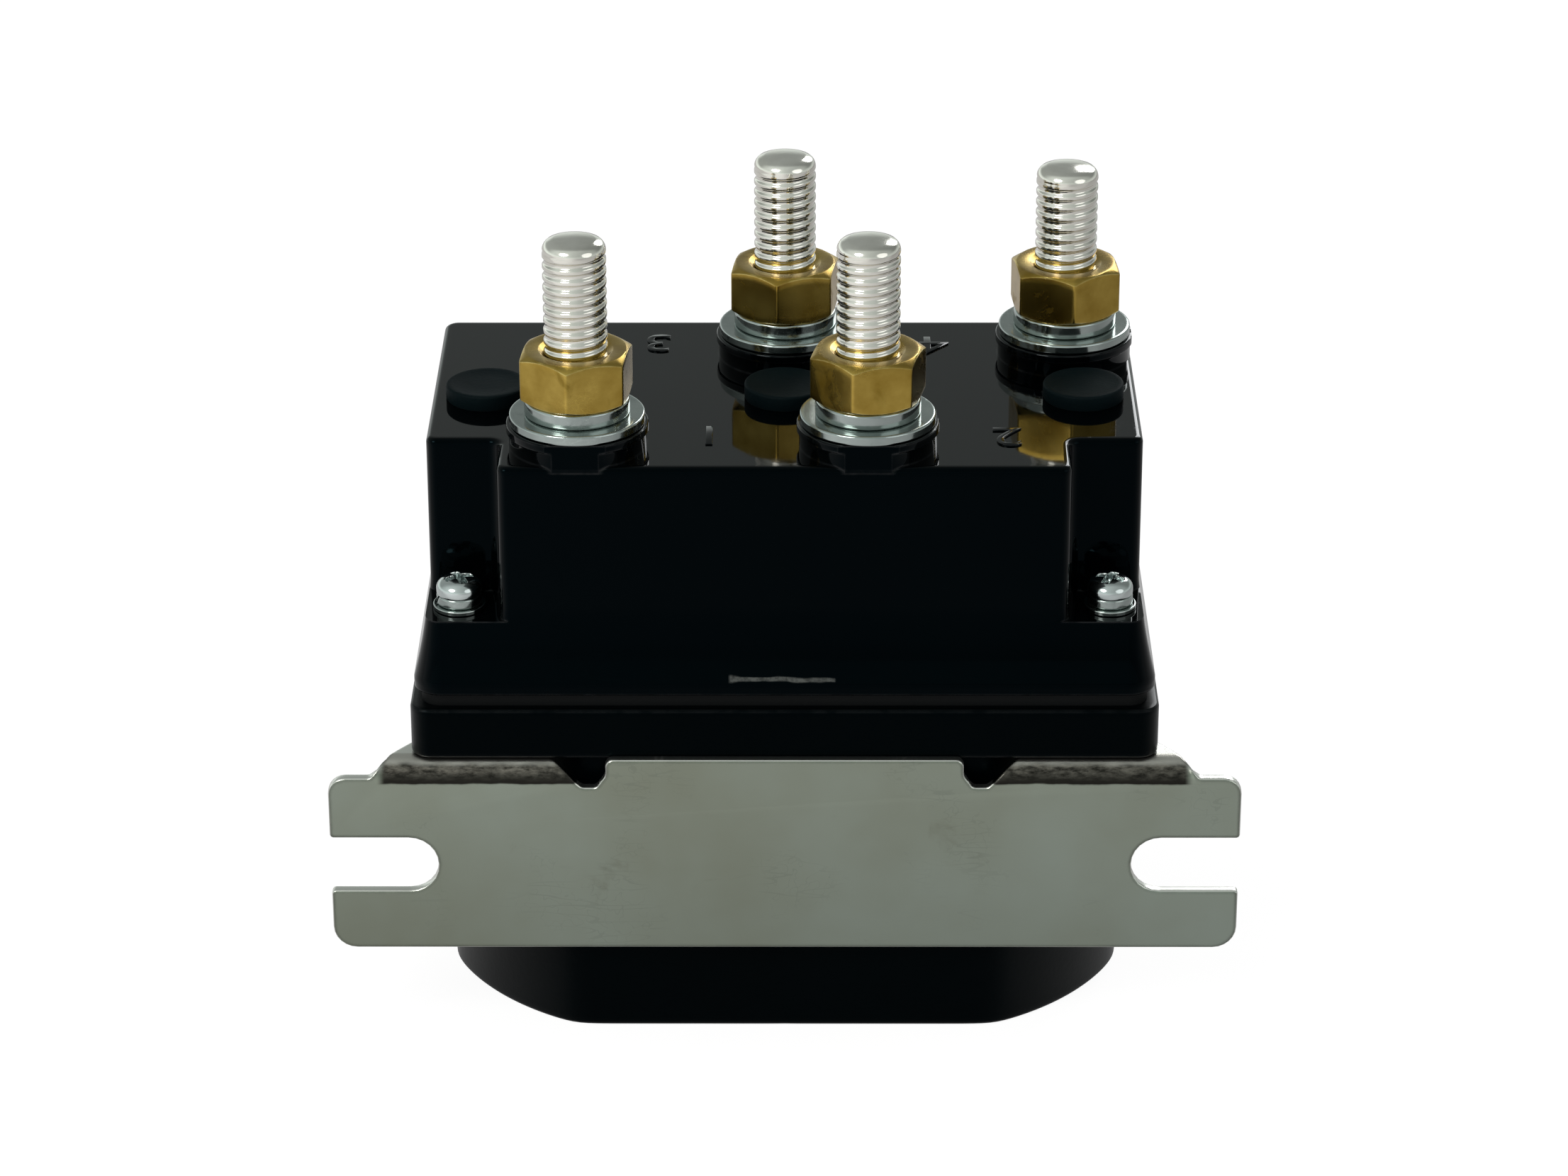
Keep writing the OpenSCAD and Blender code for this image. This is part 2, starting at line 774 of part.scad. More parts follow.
// A motor contact: a tab under the roof, a strap beside the stud's head, and an arm above and below the bridge
module motor_contact(i, coil_side) {
  strap_x = STUD_X[i] + head_r + strap_gap;
  strap_y = motor_strap_room + cover_wall - cover_d / 2;
  strap_end = -tip_y - bridge_end - strap_clear;
  cx = coil_side * coil_x;
  color("#b87333")
    difference() {
      union() {
        span([STUD_X[i] - head_r + head_cover, STUD_Y[i] - head_flat / 2, z_roof - copper_t],
             [strap_x + copper_t, STUD_Y[i] + head_flat / 2, z_roof]);
        span([strap_x, strap_y, z_lower_bar], [strap_x + copper_t, strap_end, z_roof]);
        for (z = [z_lower_bar, z_upper_bar])
          span([cx - arm_w / 2, strap_y, z], [cx + arm_w / 2, -tip_y + arm_reach, z + copper_t]);
      }
      translate([STUD_X[i], STUD_Y[i], z_roof - copper_t - over_cut])
        cylinder(h = copper_t + 2 * over_cut, r = stud_r + fit_gap, $fn = round_fn);
    }
}

// A rear busbar: a tab under the roof, a strap down the rear wall, and a bar across both coils
module busbar(i, z_bar, x_low, x_high) {
  x0 = STUD_X[i] - rear_strap_w / 2;
  x1 = STUD_X[i] + rear_strap_w / 2;
  color("#b87333")
    difference() {
      union() {
        span([x0, STUD_Y[i] - head_flat / 2, z_roof - copper_t], [x1, rear_strap_y, z_roof]);
        span([x0, rear_strap_y - copper_t, z_bar], [x1, rear_strap_y, z_roof]);
        span([x0, tip_y - bar_front, z_bar], [x1, rear_strap_y, z_bar + copper_t]);
        span([x_low, tip_y - bar_front, z_bar], [x_high, tip_y + bar_rear, z_bar + copper_t]);
      }
      translate([STUD_X[i], STUD_Y[i], z_roof - copper_t - over_cut])
        cylinder(h = copper_t + 2 * over_cut, r = stud_r + fit_gap, $fn = round_fn);
    }
}

module fixed_contact_tips() {
  color("#d8d8d4")
    for (sx = [-1, 1], sy = [-1, 1])
      for (z = [z_rest, z_lower_tip - tip_t])
        translate([sx * coil_x, sy * tip_y, z])
          cylinder(h = tip_t, r = tip_r, $fn = round_fn);
}

module coil_terminal_blades() {
  y0 = base_d / 2 - base_wall - blade_in;
  y1 = base_d / 2 + pad_t + blade_out;
  color("#c8b06a")
    for (i = [-1 : 1])
      translate([i * blade_pitch, 0, blade_z])
        difference() {
          linear_extrude(blade_t)
            polygon([[-blade_w / 2, y0], [blade_w / 2, y0], [blade_w / 2, y1 - blade_tip],
                     [blade_w / 2 - blade_tip, y1], [blade_tip - blade_w / 2, y1], [-blade_w / 2, y1 - blade_tip]]);
          translate([0, y1 - blade_out / 2, -over_cut])
            cylinder(h = blade_t + 2 * over_cut, r = blade_hole_r, $fn = round_fn);
        }
}

module coil_yoke(side) {
  color("#8f9290")
    translate([side * coil_x, 0, 0])
      difference() {
        union() {
          span([-yoke_w / 2, -yoke_in - yoke_t, z_yoke], [yoke_w / 2, yoke_in + yoke_t, z_bobbin]);
          for (s = [-1, 1])
            translate([0, s * (yoke_in + yoke_t / 2), (z_yoke + z_top_plate) / 2])
              cube([yoke_w, yoke_t, z_top_plate - z_yoke], center = true);
        }
        translate([0, 0, z_yoke - over_cut])
          cylinder(h = yoke_t + 2 * over_cut, r = core_pin_r + fit_gap / 2, $fn = round_fn);
      }
}

module yoke_top_plate(side) {
  color("#8f9290")
    translate([side * coil_x, 0, z_top_plate])
      difference() {
        span([-yoke_w / 2, -yoke_in - yoke_t, 0], [yoke_w / 2, yoke_in + yoke_t, yoke_t]);
        translate([0, 0, -over_cut])
          cylinder(h = yoke_t + 2 * over_cut, r = plunger_r + fit_gap, $fn = round_fn);
      }
}

module fixed_core(side) {
  color("#a3a6a4")
    translate([side * coil_x, 0, 0]) {
      translate([0, 0, z_bobbin])
        cylinder(h = core_h, r = plunger_r, $fn = round_fn);
      translate([0, 0, z_yoke])
        cylinder(h = yoke_t, r = core_pin_r, $fn = round_fn);
    }
}

module coil_bobbin(side) {
  tube_r = plunger_r + fit_gap + bobbin_wall;
  color("#d9d4c3")
    translate([side * coil_x, 0, 0])
      difference() {
        union() {
          translate([0, 0, z_bobbin])
            cylinder(h = bobbin_h, r = tube_r, $fn = round_fn);
          for (z = [z_bobbin, z_top_plate - bobbin_flange])
            translate([0, 0, z])
              cylinder(h = bobbin_flange, r = bobbin_r, $fn = round_fn);
        }
        translate([0, 0, z_bobbin - over_cut])
          cylinder(h = bobbin_h + 2 * over_cut, r = plunger_r + fit_gap, $fn = round_fn);
      }
}

module coil_winding(side) {
  color("#7a3b1d")
    translate([side * coil_x, 0, 0])
      tube(z_bobbin + bobbin_flange, bobbin_h - 2 * bobbin_flange,
           bobbin_r - winding_in, plunger_r + fit_gap + bobbin_wall + fit_gap / 2);
}

module plunger(side) {
  bottom = z_core_top + plunger_rest_gap;
  color("#b5b8b6")
    translate([side * coil_x, 0, 0])
      difference() {
        union() {
          translate([0, 0, bottom])
            cylinder(h = z_cap_top - bottom, r = plunger_r, $fn = round_fn);
          translate([0, 0, z_cap])
            cylinder(h = cap_t, r = cap_r, $fn = round_fn);
        }
        translate([0, 0, z_cap_top - rod_seat])
          cylinder(h = rod_seat + over_cut, r = rod_r + fit_gap / 2, $fn = round_fn);
      }
}

module push_rod(side) {
  color("#c6c9c7")
    translate([side * coil_x, 0, z_cap_top - rod_seat])
      cylinder(h = z_retainer + retainer_t + rod_over - z_cap_top + rod_seat, r = rod_r, $fn = round_fn);
}

module return_spring(side) {
  color("#7d8184")
    translate([side * coil_x, 0, 0])
      helix_spring(z_top_plate_top, z_cap - z_top_plate_top, return_spring_mean, return_wire / 2, return_turns);
}

module insulating_bush(side) {
  color("#e6e1d2")
    translate([side * coil_x, 0, 0])
      difference() {
        union() {
          translate([0, 0, z_bridge - bush_flange_t])
            cylinder(h = bush_flange_t, r = bush_flange_r, $fn = round_fn);
          translate([0, 0, z_bridge - bush_flange_t])
            cylinder(h = bush_flange_t + bridge_t + bush_over, r = bush_r, $fn = round_fn);
        }
        translate([0, 0, z_bridge - bush_flange_t - over_cut])
          cylinder(h = bush_flange_t + bridge_t + bush_over + 2 * over_cut, r = rod_r + fit_gap / 2, $fn = round_fn);
      }
}

// A bridge: a copper bar with a silver tip above and below each end
module contact_bridge(side) {
  half = tip_y + bridge_end;
  color("#c07a3c")
    translate([side * coil_x, 0, 0])
      difference() {
        union() {
          span([-bridge_w / 2, -half, z_bridge], [bridge_w / 2, half, z_bridge_top]);
          for (s = [-1, 1])
            translate([0, s * tip_y, z_bridge - tip_t])
              cylinder(h = bridge_t + 2 * tip_t, r = tip_r, $fn = round_fn);
        }
        translate([0, 0, z_bridge - over_cut])
          cylinder(h = bridge_t + 2 * over_cut, r = bush_r + fit_gap, $fn = round_fn);
      }
}

module contact_spring(side) {
  color("#7d8184")
    translate([side * coil_x, 0, 0])
      helix_spring(z_bridge_top, contact_spring_h, contact_spring_mean, contact_wire / 2, contact_turns);
}

module spring_retainer(side) {
  color("#9fa3a5")
    translate([side * coil_x, 0, 0])
      tube(z_retainer, retainer_t, retainer_r, rod_r + fit_gap / 2);
}

top_cover();
base_housing();
cover_gasket();
mounting_bracket();
insulating_plate();
terminal_stud(0);  // terminal_stud_1
terminal_stud(1);  // terminal_stud_2
terminal_stud(2);  // terminal_stud_3
terminal_stud(3);  // terminal_stud_4
terminal_nut(0);  // terminal_nut_1
terminal_nut(1);  // terminal_nut_2
terminal_nut(2);  // terminal_nut_3
terminal_nut(3);  // terminal_nut_4
terminal_spring_washers();
terminal_flat_washers();
stud_seals();
screw_plug(WELL_X[0]);  // screw_plug_left
screw_plug(WELL_X[1]);  // screw_plug_centre
screw_plug(WELL_X[2]);  // screw_plug_right
case_screws();
bracket_screw(-1);  // bracket_screw_left
bracket_screw(1);  // bracket_screw_right
bracket_spring_washers();
bracket_flat_washers();
motor_contact(0, -1);  // motor_contact_left
motor_contact(1, 1);  // motor_contact_right
busbar(2, z_upper_bar, -coil_x - bar_over, coil_x + bar_over);  // negative_busbar
busbar(3, z_lower_bar, -coil_x - bar_over, STUD_X[3] + rear_strap_w / 2);  // positive_busbar
fixed_contact_tips();
coil_terminal_blades();
coil_yoke(-1);  // coil_yoke_left
coil_yoke(1);  // coil_yoke_right
yoke_top_plate(-1);  // yoke_top_plate_left
yoke_top_plate(1);  // yoke_top_plate_right
fixed_core(-1);  // fixed_core_left
fixed_core(1);  // fixed_core_right
coil_bobbin(-1);  // coil_bobbin_left
coil_bobbin(1);  // coil_bobbin_right
coil_winding(-1);  // coil_winding_left
coil_winding(1);  // coil_winding_right
plunger(-1);  // plunger_left
plunger(1);  // plunger_right
push_rod(-1);  // push_rod_left
push_rod(1);  // push_rod_right
return_spring(-1);  // return_spring_left
return_spring(1);  // return_spring_right
insulating_bush(-1);  // insulating_bush_left
insulating_bush(1);  // insulating_bush_right
contact_bridge(-1);  // contact_bridge_left
contact_bridge(1);  // contact_bridge_right
contact_spring(-1);  // contact_spring_left
contact_spring(1);  // contact_spring_right
spring_retainer(-1);  // spring_retainer_left
spring_retainer(1);  // spring_retainer_right
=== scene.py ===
"""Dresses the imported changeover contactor: its visible shapes, finishes, camera and light.

Lengths are millimetres in the frame of the CAD model, and Shell.mesh turns them into metres. A row of
points that lies within a millimetre of an edge is there to keep the face beside it shaded flat.
"""
from __future__ import annotations

import logging
import math
from dataclasses import dataclass, field
from enum import Enum

import bmesh
import bpy
import numpy as np
from mathutils import Matrix, Vector

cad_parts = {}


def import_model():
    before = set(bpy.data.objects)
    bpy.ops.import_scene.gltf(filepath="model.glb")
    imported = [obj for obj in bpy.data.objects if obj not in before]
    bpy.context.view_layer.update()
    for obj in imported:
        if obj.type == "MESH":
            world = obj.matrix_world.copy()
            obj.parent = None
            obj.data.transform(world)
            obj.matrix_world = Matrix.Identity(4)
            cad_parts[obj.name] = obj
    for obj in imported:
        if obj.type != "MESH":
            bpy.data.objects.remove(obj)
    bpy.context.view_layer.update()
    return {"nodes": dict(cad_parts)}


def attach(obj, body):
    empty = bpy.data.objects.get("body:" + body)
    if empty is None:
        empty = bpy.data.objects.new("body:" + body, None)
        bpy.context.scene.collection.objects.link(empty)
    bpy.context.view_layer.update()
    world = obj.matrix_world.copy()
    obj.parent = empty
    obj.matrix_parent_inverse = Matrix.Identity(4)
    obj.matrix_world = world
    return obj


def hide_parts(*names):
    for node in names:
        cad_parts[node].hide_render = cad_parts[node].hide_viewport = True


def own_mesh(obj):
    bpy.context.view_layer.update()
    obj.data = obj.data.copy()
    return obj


LOG = logging.getLogger("contactor")
MM = 0.001
TAU = 2.0 * math.pi
ROOT = "root"

SIDES = ("left", "right")

# Outlines: the turn in radians that still counts as straight, and the least radius of an arc
STRAIGHT_TURN = 1e-4
LEAST_ARC = 0.02

# Tolerances of mesh operations, in metres
MERGE_DISTANCE = 1e-6
CUT_DISTANCE = 1e-8

# Materials: depth of the bumps in metres, rate of the wave texture, samples of the edge effect
BUMP_DEPTH = 0.0004
WAVE_RATE = 20.0
EDGE_SAMPLES = 4

# Washers: columns of a whole and of a split one, and the angle past which an edge stays sharp
WASHER_COLUMNS = 112
SPLIT_COLUMNS = 101
WASHER_SHARP = 28.0

# The slit's width and its ends' rise as shares of the thickness, and how far it leans
SLIT_WIDTH = 0.36
SLIT_RISE = 0.03
SLIT_LEAN = 0.6

Array = np.ndarray
Socket = bpy.types.NodeSocket
Pair = tuple[float, float]
Point = tuple[float, float, float]
Colour = tuple[float, float, float]
Slope = tuple[float, float, float, float]
WHITE: Colour = (1.0, 1.0, 1.0)

# Corners of a washer's cross-section: their greatest radius, and their greatest share of its thickness
FLAT_EDGE: Pair = (0.28, 0.22)
SPLIT_EDGE: Pair = (0.32, 0.2)


# Shapes that several pieces share


def smooth(t: Array) -> Array:
    """Smooth step: t clipped to 0..1, then 3 t squared less 2 t cubed."""
    t = np.clip(t, 0.0, 1.0)
    return t * t * (3.0 - 2.0 * t)


def rounded_outline(corners: Array, inset: float = 0.0, steps: int = 6,
                    shares: tuple[float, ...] = (0.015, 0.5, 0.985)) -> Array:
    """Closed outline with round corners, moved inwards by inset.

    Each corner is moved along the sum of its two outward normals over one plus their product. An arc of
    radius r less inset (plus inset where the corner is concave) is then laid between points that lie
    r times the tangent of half the turn before and after it. Where the outline runs straight through a
    corner, its third value is half the length over which its points are spread.

    Args:
        corners: k rows of x, y and radius, counter-clockwise.
        inset: How far the outline moves inwards, negative for outwards.
        steps: Pieces in each arc.
        shares: Where the points of each straight lie, as shares of its length.

    Returns:
        An array of points, always the same number for the same corners.
    """
    place, radius = corners[:, :2], corners[:, 2]
    ahead = np.roll(place, -1, 0) - place
    ahead /= np.linalg.norm(ahead, axis=1, keepdims=True)
    behind = np.roll(ahead, 1, 0)
    out_a = np.stack([behind[:, 1], -behind[:, 0]], 1)
    out_b = np.stack([ahead[:, 1], -ahead[:, 0]], 1)
    turn = np.arctan2(behind[:, 0] * ahead[:, 1] - behind[:, 1] * ahead[:, 0], (behind * ahead).sum(1))
    moved = place - inset * (out_a + out_b) / (1.0 + (out_a * out_b).sum(1, keepdims=True))
    bent = np.abs(turn) > STRAIGHT_TURN
    arc_r = np.maximum(radius - inset * np.sign(turn), LEAST_ARC)
    setback = np.where(bent, arc_r * np.tan(np.abs(turn) / 2.0), radius)
    start = moved - setback[:, None] * behind
    end = moved + setback[:, None] * ahead
    share = np.linspace(0.0, 1.0, steps + 1)[None, :, None]
    angle = share * np.abs(turn)[:, None, None]
    side = -np.sign(turn)[:, None] * out_a
    arc = (start[:, None] + arc_r[:, None, None]
           * (np.sin(angle) * behind[:, None] + (1.0 - np.cos(angle)) * side[:, None]))
    arc = np.where(bent[:, None, None], arc, start[:, None] + share * (end - start)[:, None])
    along = np.array(shares)[None, :, None]
    straight = end[:, None] + along * (np.roll(start, -1, 0) - end)[:, None]
    return np.concatenate([arc, straight], 1).reshape(-1, 2)


def level(outline: Array, z: float) -> Array:
    """A flat row of points: the outline at height z."""
    return np.column_stack([outline, np.full(len(outline), z)])


def edge_round(radius: float, steps: int = 5) -> list[Pair]:
    """Quarter circle as (inset, drop) pairs, from the wall (0, radius) to the flat face (radius, 0)."""
    angle = np.linspace(0.0, math.pi / 2.0, steps + 1)
    return [(radius * (1.0 - math.cos(a)), radius * (1.0 - math.sin(a))) for a in angle]


def revolve(profile: Array, centre: Pair, columns: int = 96) -> Array:
    """Grid of a body of revolution: row i is the circle of radius profile[i, 0] at height profile[i, 1].

    Args:
        profile: Radii and heights, climbing the outer wall.
        centre: X and Y of the axis.
        columns: Points round each circle.

    Returns:
        Rows by columns by 3.
    """
    theta = np.arange(columns) * TAU / columns
    rows = np.empty((len(profile), columns, 3))
    rows[:, :, 0] = centre[0] + profile[:, :1] * np.cos(theta)
    rows[:, :, 1] = centre[1] + profile[:, :1] * np.sin(theta)
    rows[:, :, 2] = profile[:, 1:]
    return rows


@dataclass
class Shell:
    """One mesh, gathered from grids of points whose quads face outwards."""

    name: str
    points: list[Array] = field(default_factory=list)
    quads: list[Array] = field(default_factory=list)
    caps: list[list[int]] = field(default_factory=list)
    count: int = 0

    def grid(self, rows: Array, caps: bool = True, ring: bool = False, closed: bool = True) -> None:
        """Adds the quads between neighbouring rows and columns.

        Args:
            rows: Rows by columns by 3. Columns run counter-clockwise, and rows climb the outer wall.
            caps: Closes the first and the last row, or the first and last column of an open ring.
            ring: Joins the last row to the first.
            closed: Joins the last column to the first.
        """
        ids = self.count + np.arange(rows.shape[0] * rows.shape[1]).reshape(rows.shape[:2])
        self.points.append(rows.reshape(-1, 3))
        self.count += ids.size
        low, high = (ids, np.roll(ids, -1, 0)) if ring else (ids[:-1], ids[1:])
        low_next, high_next = np.roll(low, -1, 1), np.roll(high, -1, 1)
        if not closed:
            low, high, low_next, high_next = low[:, :-1], high[:, :-1], low_next[:, :-1], high_next[:, :-1]
        self.quads.append(np.stack([low, low_next, high_next, high], -1).reshape(-1, 4))
        if caps and not ring:
            self.caps += [ids[0][::-1].tolist(), ids[-1].tolist()]
        if caps and ring and not closed:
            self.caps += [ids[:, 0].tolist(), ids[::-1, -1].tolist()]

    def mesh(self, sharp: float = 30.0) -> bpy.types.Mesh:
        """The finished mesh, in metres.

        Args:
            sharp: An edge that turns by more degrees than this stays sharp.

        Returns:
            The mesh, with the shell's name.
        """
        mesh = bpy.data.meshes.new(self.name)
        faces = np.concatenate(self.quads).tolist() + self.caps
        mesh.from_pydata((np.concatenate(self.points) * MM).tolist(), [], faces)
        finish_mesh(mesh, sharp)
        return mesh


def finish_mesh(mesh: bpy.types.Mesh, sharp: float) -> None:
    """Shades a mesh smooth.

    Args:
        mesh: The mesh.
        sharp: An edge that turns by more degrees than this stays sharp.
    """
    mesh.shade_smooth()
    mesh.set_sharp_from_angle(angle=math.radians(sharp))
    mesh.update()


# Finishes


class Tree:
    """Places and joins the nodes of one node tree."""

    def __init__(self, tree: bpy.types.NodeTree) -> None:
        """Starts on an emptied tree."""
        self.tree = tree
        tree.nodes.clear()

    def add(self, kind: str, inputs: dict[str | int, object] | None = None,
            **settings: object) -> bpy.types.Node:
        """Places a node.

        Args:
            kind: Its type without the ShaderNode prefix, or the full type name of a group node.
            inputs: Values or output sockets by input name or number.
            **settings: Attributes of the node.

        Returns:
            The node.
        """
        node = self.tree.nodes.new(kind if kind.startswith("Node") else "ShaderNode" + kind)
        for key, value in settings.items():
            setattr(node, key, value)
        for key, value in (inputs or {}).items():
            self.give(node, key, value)
        return node

    def give(self, node: bpy.types.Node, key: str | int, value: object) -> None:
        """Puts a number, a colour or another node's output on one input of a node.

        Args:
            node: The node.
            key: Name or number of its input.
            value: What the input takes.
        """
        if isinstance(value, Socket):
            self.tree.links.new(value, node.inputs[key])
        else:
            node.inputs[key].default_value = value

    def math(self, operation: str, a: object, b: object = 0.0) -> Socket:
        """Result of a Math node on a and b, each a number or a socket."""
        return self.add("Math", {0: a, 1: b}, operation=operation).outputs[0]

    def product(self, first: object, *others: object) -> Socket:
        """Product of numbers and sockets.

        Args:
            first: A number or a socket.
            *others: What it is multiplied by, in turn.

        Returns:
            The product's socket.
        """
        for other in others:
            first = self.math("MULTIPLY", first, other)
        return first

    def ramp(self, value: Socket, low: object, high: object, out_low: float = 0.0,
             out_high: float = 1.0) -> Socket:
        """value mapped smoothly from low..high to out_low..out_high."""
        return self.add("MapRange", {0: value, 1: low, 2: high, 3: out_low, 4: out_high},
                        interpolation_type="SMOOTHSTEP").outputs[0]

    def noise(self, vector: Socket, scale: object, detail: float = 3.0, rough: float = 0.5) -> Socket:
        """Noise value over a vector."""
        return self.add("TexNoise", {"Vector": vector, "Scale": scale, "Detail": detail,
                                     "Roughness": rough}).outputs[0]

    def blend(self, share: object, first: object, second: object) -> Socket:
        """Colour between first and second by share."""
        ends = [end if isinstance(end, Socket) else (*end, 1.0) for end in (first, second)]
        return self.add("Mix", {0: share, 6: ends[0], 7: ends[1]}, data_type="RGBA").outputs[2]


class Effect(Enum):
    """Surface effects that several finishes share, one node group each."""

    MOTTLE = "uneven_tone"
    SMUDGE = "finger_smudges"
    SCRATCH = "fine_scratches"
    GRAIN = "surface_grain"
    # Edge mask: real abrasion on metal parts, painted highlights and a painted shade line on the cover,
    # housing and bracket
    EDGE = "wear_and_highlight_edge_mask"


class EffectGroup(Tree):
    """The node group of one shared effect, which takes a Vector and numbers and gives one value."""

    def __init__(self, effect: Effect, output: str, **numbers: float) -> None:
        """Starts the group.

        Args:
            effect: Which effect it makes.
            output: Name of its output.
            **numbers: Name and default of each number that it takes.
        """
        group = bpy.data.node_groups.new(effect.value, "ShaderNodeTree")
        super().__init__(group)
        group.interface.new_socket(name="Vector", in_out="INPUT", socket_type="NodeSocketVector")
        for name, value in numbers.items():
            socket = group.interface.new_socket(name=name, in_out="INPUT", socket_type="NodeSocketFloat")
            socket.default_value = value
        group.interface.new_socket(name=output, in_out="OUTPUT", socket_type="NodeSocketFloat")
        self.given = self.add("NodeGroupInput").outputs
        self.end = self.add("NodeGroupOutput")

    def closed(self, result: Socket) -> bpy.types.NodeTree:
        """The group's tree, with result as its output."""
        self.give(self.end, 0, result)
        return self.tree


def uneven_tone() -> bpy.types.NodeTree:
    """Clouds of noise, spread about their middle value by the contrast.

    Returns:
        The group's tree.
    """
    group = EffectGroup(Effect.MOTTLE, "Mask", Scale=60.0, Contrast=1.0)
    cloud = group.noise(group.given["Vector"], group.given["Scale"], 4.0, 0.55)
    spread = group.product(group.math("SUBTRACT", cloud, 0.5), group.given["Contrast"])
    return group.closed(group.add("Clamp", {0: group.math("ADD", spread, 0.5)}).outputs[0])


def finger_smudges() -> bpy.types.NodeTree:
    """Warped noise above a level that falls as the share to be covered rises.

    Returns:
        The group's tree.
    """
    group = EffectGroup(Effect.SMUDGE, "Mask", Scale=40.0, Cover=0.5)
    warped = group.add("TexNoise", {"Vector": group.given["Vector"], "Scale": group.given["Scale"],
                                    "Detail": 5.0, "Roughness": 0.62, "Distortion": 1.3}).outputs[0]
    low = group.math("SUBTRACT", 0.86, group.product(group.given["Cover"], 0.7))
    return group.closed(group.ramp(warped, low, group.math("ADD", low, 0.22)))


def fine_scratches() -> bpy.types.NodeTree:
    """Two sets of thin lines, where stretched noise passes its middle value, let through in patches.

    Returns:
        The group's tree.
    """
    group = EffectGroup(Effect.SCRATCH, "Mask", Scale=90.0, Width=0.012)
    lines = []
    for turn, stretch in (((0.35, 0.2, 0.5), (1.0, 9.0, 7.0)), ((0.1, 0.7, 1.9), (8.0, 1.0, 9.0))):
        mapped = group.add("Mapping", {"Vector": group.given["Vector"], "Rotation": turn, "Scale": stretch})
        wave = group.noise(mapped.outputs[0], group.given["Scale"], 1.0)
        away = group.math("ABSOLUTE", group.math("SUBTRACT", wave, 0.5))
        lines.append(group.math("LESS_THAN", away, group.given["Width"]))
    patches = group.ramp(group.noise(group.given["Vector"], 70.0), 0.52, 0.66)
    return group.closed(group.product(group.math("MAXIMUM", *lines), patches))


def surface_grain() -> bpy.types.NodeTree:
    """Fine noise with some coarser noise under it.

    Returns:
        The group's tree.
    """
    group = EffectGroup(Effect.GRAIN, "Height", Scale=900.0)
    fine = group.noise(group.given["Vector"], group.given["Scale"], 3.0, 0.6)
    coarse = group.noise(group.given["Vector"], group.product(group.given["Scale"], 0.12), 2.0)
    return group.closed(group.math("ADD", group.product(fine, 0.6), group.product(coarse, 0.4)))


def wear_and_highlight_edge_mask() -> bpy.types.NodeTree:
    """High where a normal averaged within the radius turns away from the true one, broken by noise. It
    places real abrasion on metal parts, a painted highlight on the cover and the housing, and a painted
    shade line on the bracket.

    Returns:
        The group's tree.
    """
    group = EffectGroup(Effect.EDGE, "Mask", Radius=0.0004)
    averaged = group.add("Bevel", {"Radius": group.given["Radius"]},
                         samples=EDGE_SAMPLES).outputs[0]
    true_normal = group.add("NewGeometry").outputs["Normal"]
    along = group.add("VectorMath", {0: averaged, 1: true_normal}, operation="DOT_PRODUCT").outputs["Value"]
    turned = group.ramp(along, 0.998, 0.93)
    broken = group.ramp(group.noise(group.given["Vector"], 420.0), 0.36, 0.6, 0.35, 1.0)
    return group.closed(group.product(turned, broken))


@dataclass(frozen=True)
class Scuff:
    """A pale rubbed streak along X: its centre and half lengths in metres, its colour, and its outline.

    The outline's places are shares of the half lengths. fade is where the streak starts and is full in
    height, and ends the same along it and in depth. wander is the scale and size of the noise that
    bends it, widening how its height changes along X, and speckle what breaks it up.
    """

    centre: Point
    reach: Point
    colour: Colour
    wander: Pair = (330.0, 2.4)
    widening: Slope = (-0.95, -0.7, 1.7, 1.0)
    fade: Pair = (1.0, 0.35)
    ends: Pair = (1.0, 0.95)
    speckle_scale: float = 1500.0
    speckle: Slope = (0.36, 0.62, 0.45, 1.0)


@dataclass(frozen=True)
class BendShadeAndCrinkle:
    """Painted shade and light on the outside of a bend, over its crinkle bumps: its colours, and where it
    starts and is full, in metres.

    dark is painted shade along the foot and between the light crinkles, light is painted light that
    rises up the bend, and crest is a painted highlight along its top. foot, climb and top are heights,
    front is a depth, and inner and outer are distances from the middle. wander is the scale and height
    of the foot's unevenness, crinkle the scale and strength of the bumps, and lit which part of their
    noise is light. A rim's normal has less Y than rim says.
    """

    dark: Colour
    light: Colour
    crest: Colour
    foot: Pair = (0.0365, 0.0368)
    climb: Pair = (0.0368, 0.0392)
    top: Pair = (0.0386, 0.0393)
    front: Pair = (-0.0249, -0.0254)
    inner: Pair = (0.0236, 0.0246)
    outer: Pair = (0.0516, 0.0504)
    wander: Pair = (260.0, 0.0006)
    crinkle: Pair = (1500.0, 7.0)
    stretch: Point = (0.4, 1.0, 1.0)
    lit: Pair = (0.30, 0.75)
    rim: Pair = (0.93, 0.6)


@dataclass(frozen=True)
class Finish:
    """One surface finish: colours, gloss, and how much of each shared effect it shows.

    rough is the roughness when clean and when smudged. mottle is the scale and contrast of the uneven
    tone, smudge the scale and cover of the smudges, and grain the scale and strength of the bumps.
    scratch_gain times the light colour is the colour of a scratch, and wire_pitch is in metres.
    """

    slot: str
    dark: Colour
    light: Colour
    rough: Pair
    metal: float = 0.0
    specular: float = 0.5
    # Below white, the tint dims and tints the gloss; on the cover and the housing it is painted shade
    # standing in for darker surroundings
    tint: Colour = WHITE
    mottle: Pair = (60.0, 1.2)
    smudge: Pair = (45.0, 0.35)
    smudge_colour: Colour | None = None
    scratch: float = 0.0
    scratch_scale: float = 90.0
    scratch_gain: float = 1.8
    # Colour of the edges: real abrasion on metal parts, a painted highlight on the cover, the housing and
    # the bracket's rims
    edge: Colour | None = None
    # Colour of a dark line along the edges, a painted shade
    painted_edge_shade: Colour | None = None
    edge_radius: float = 0.0004
    grain: Pair = (900.0, 0.05)
    wire_pitch: float = 0.0
    scuff: Scuff | None = None
    # Painted shade, light and highlight in a bend, over crinkle bumps
    bend_shade_and_crinkle: BendShadeAndCrinkle | None = None


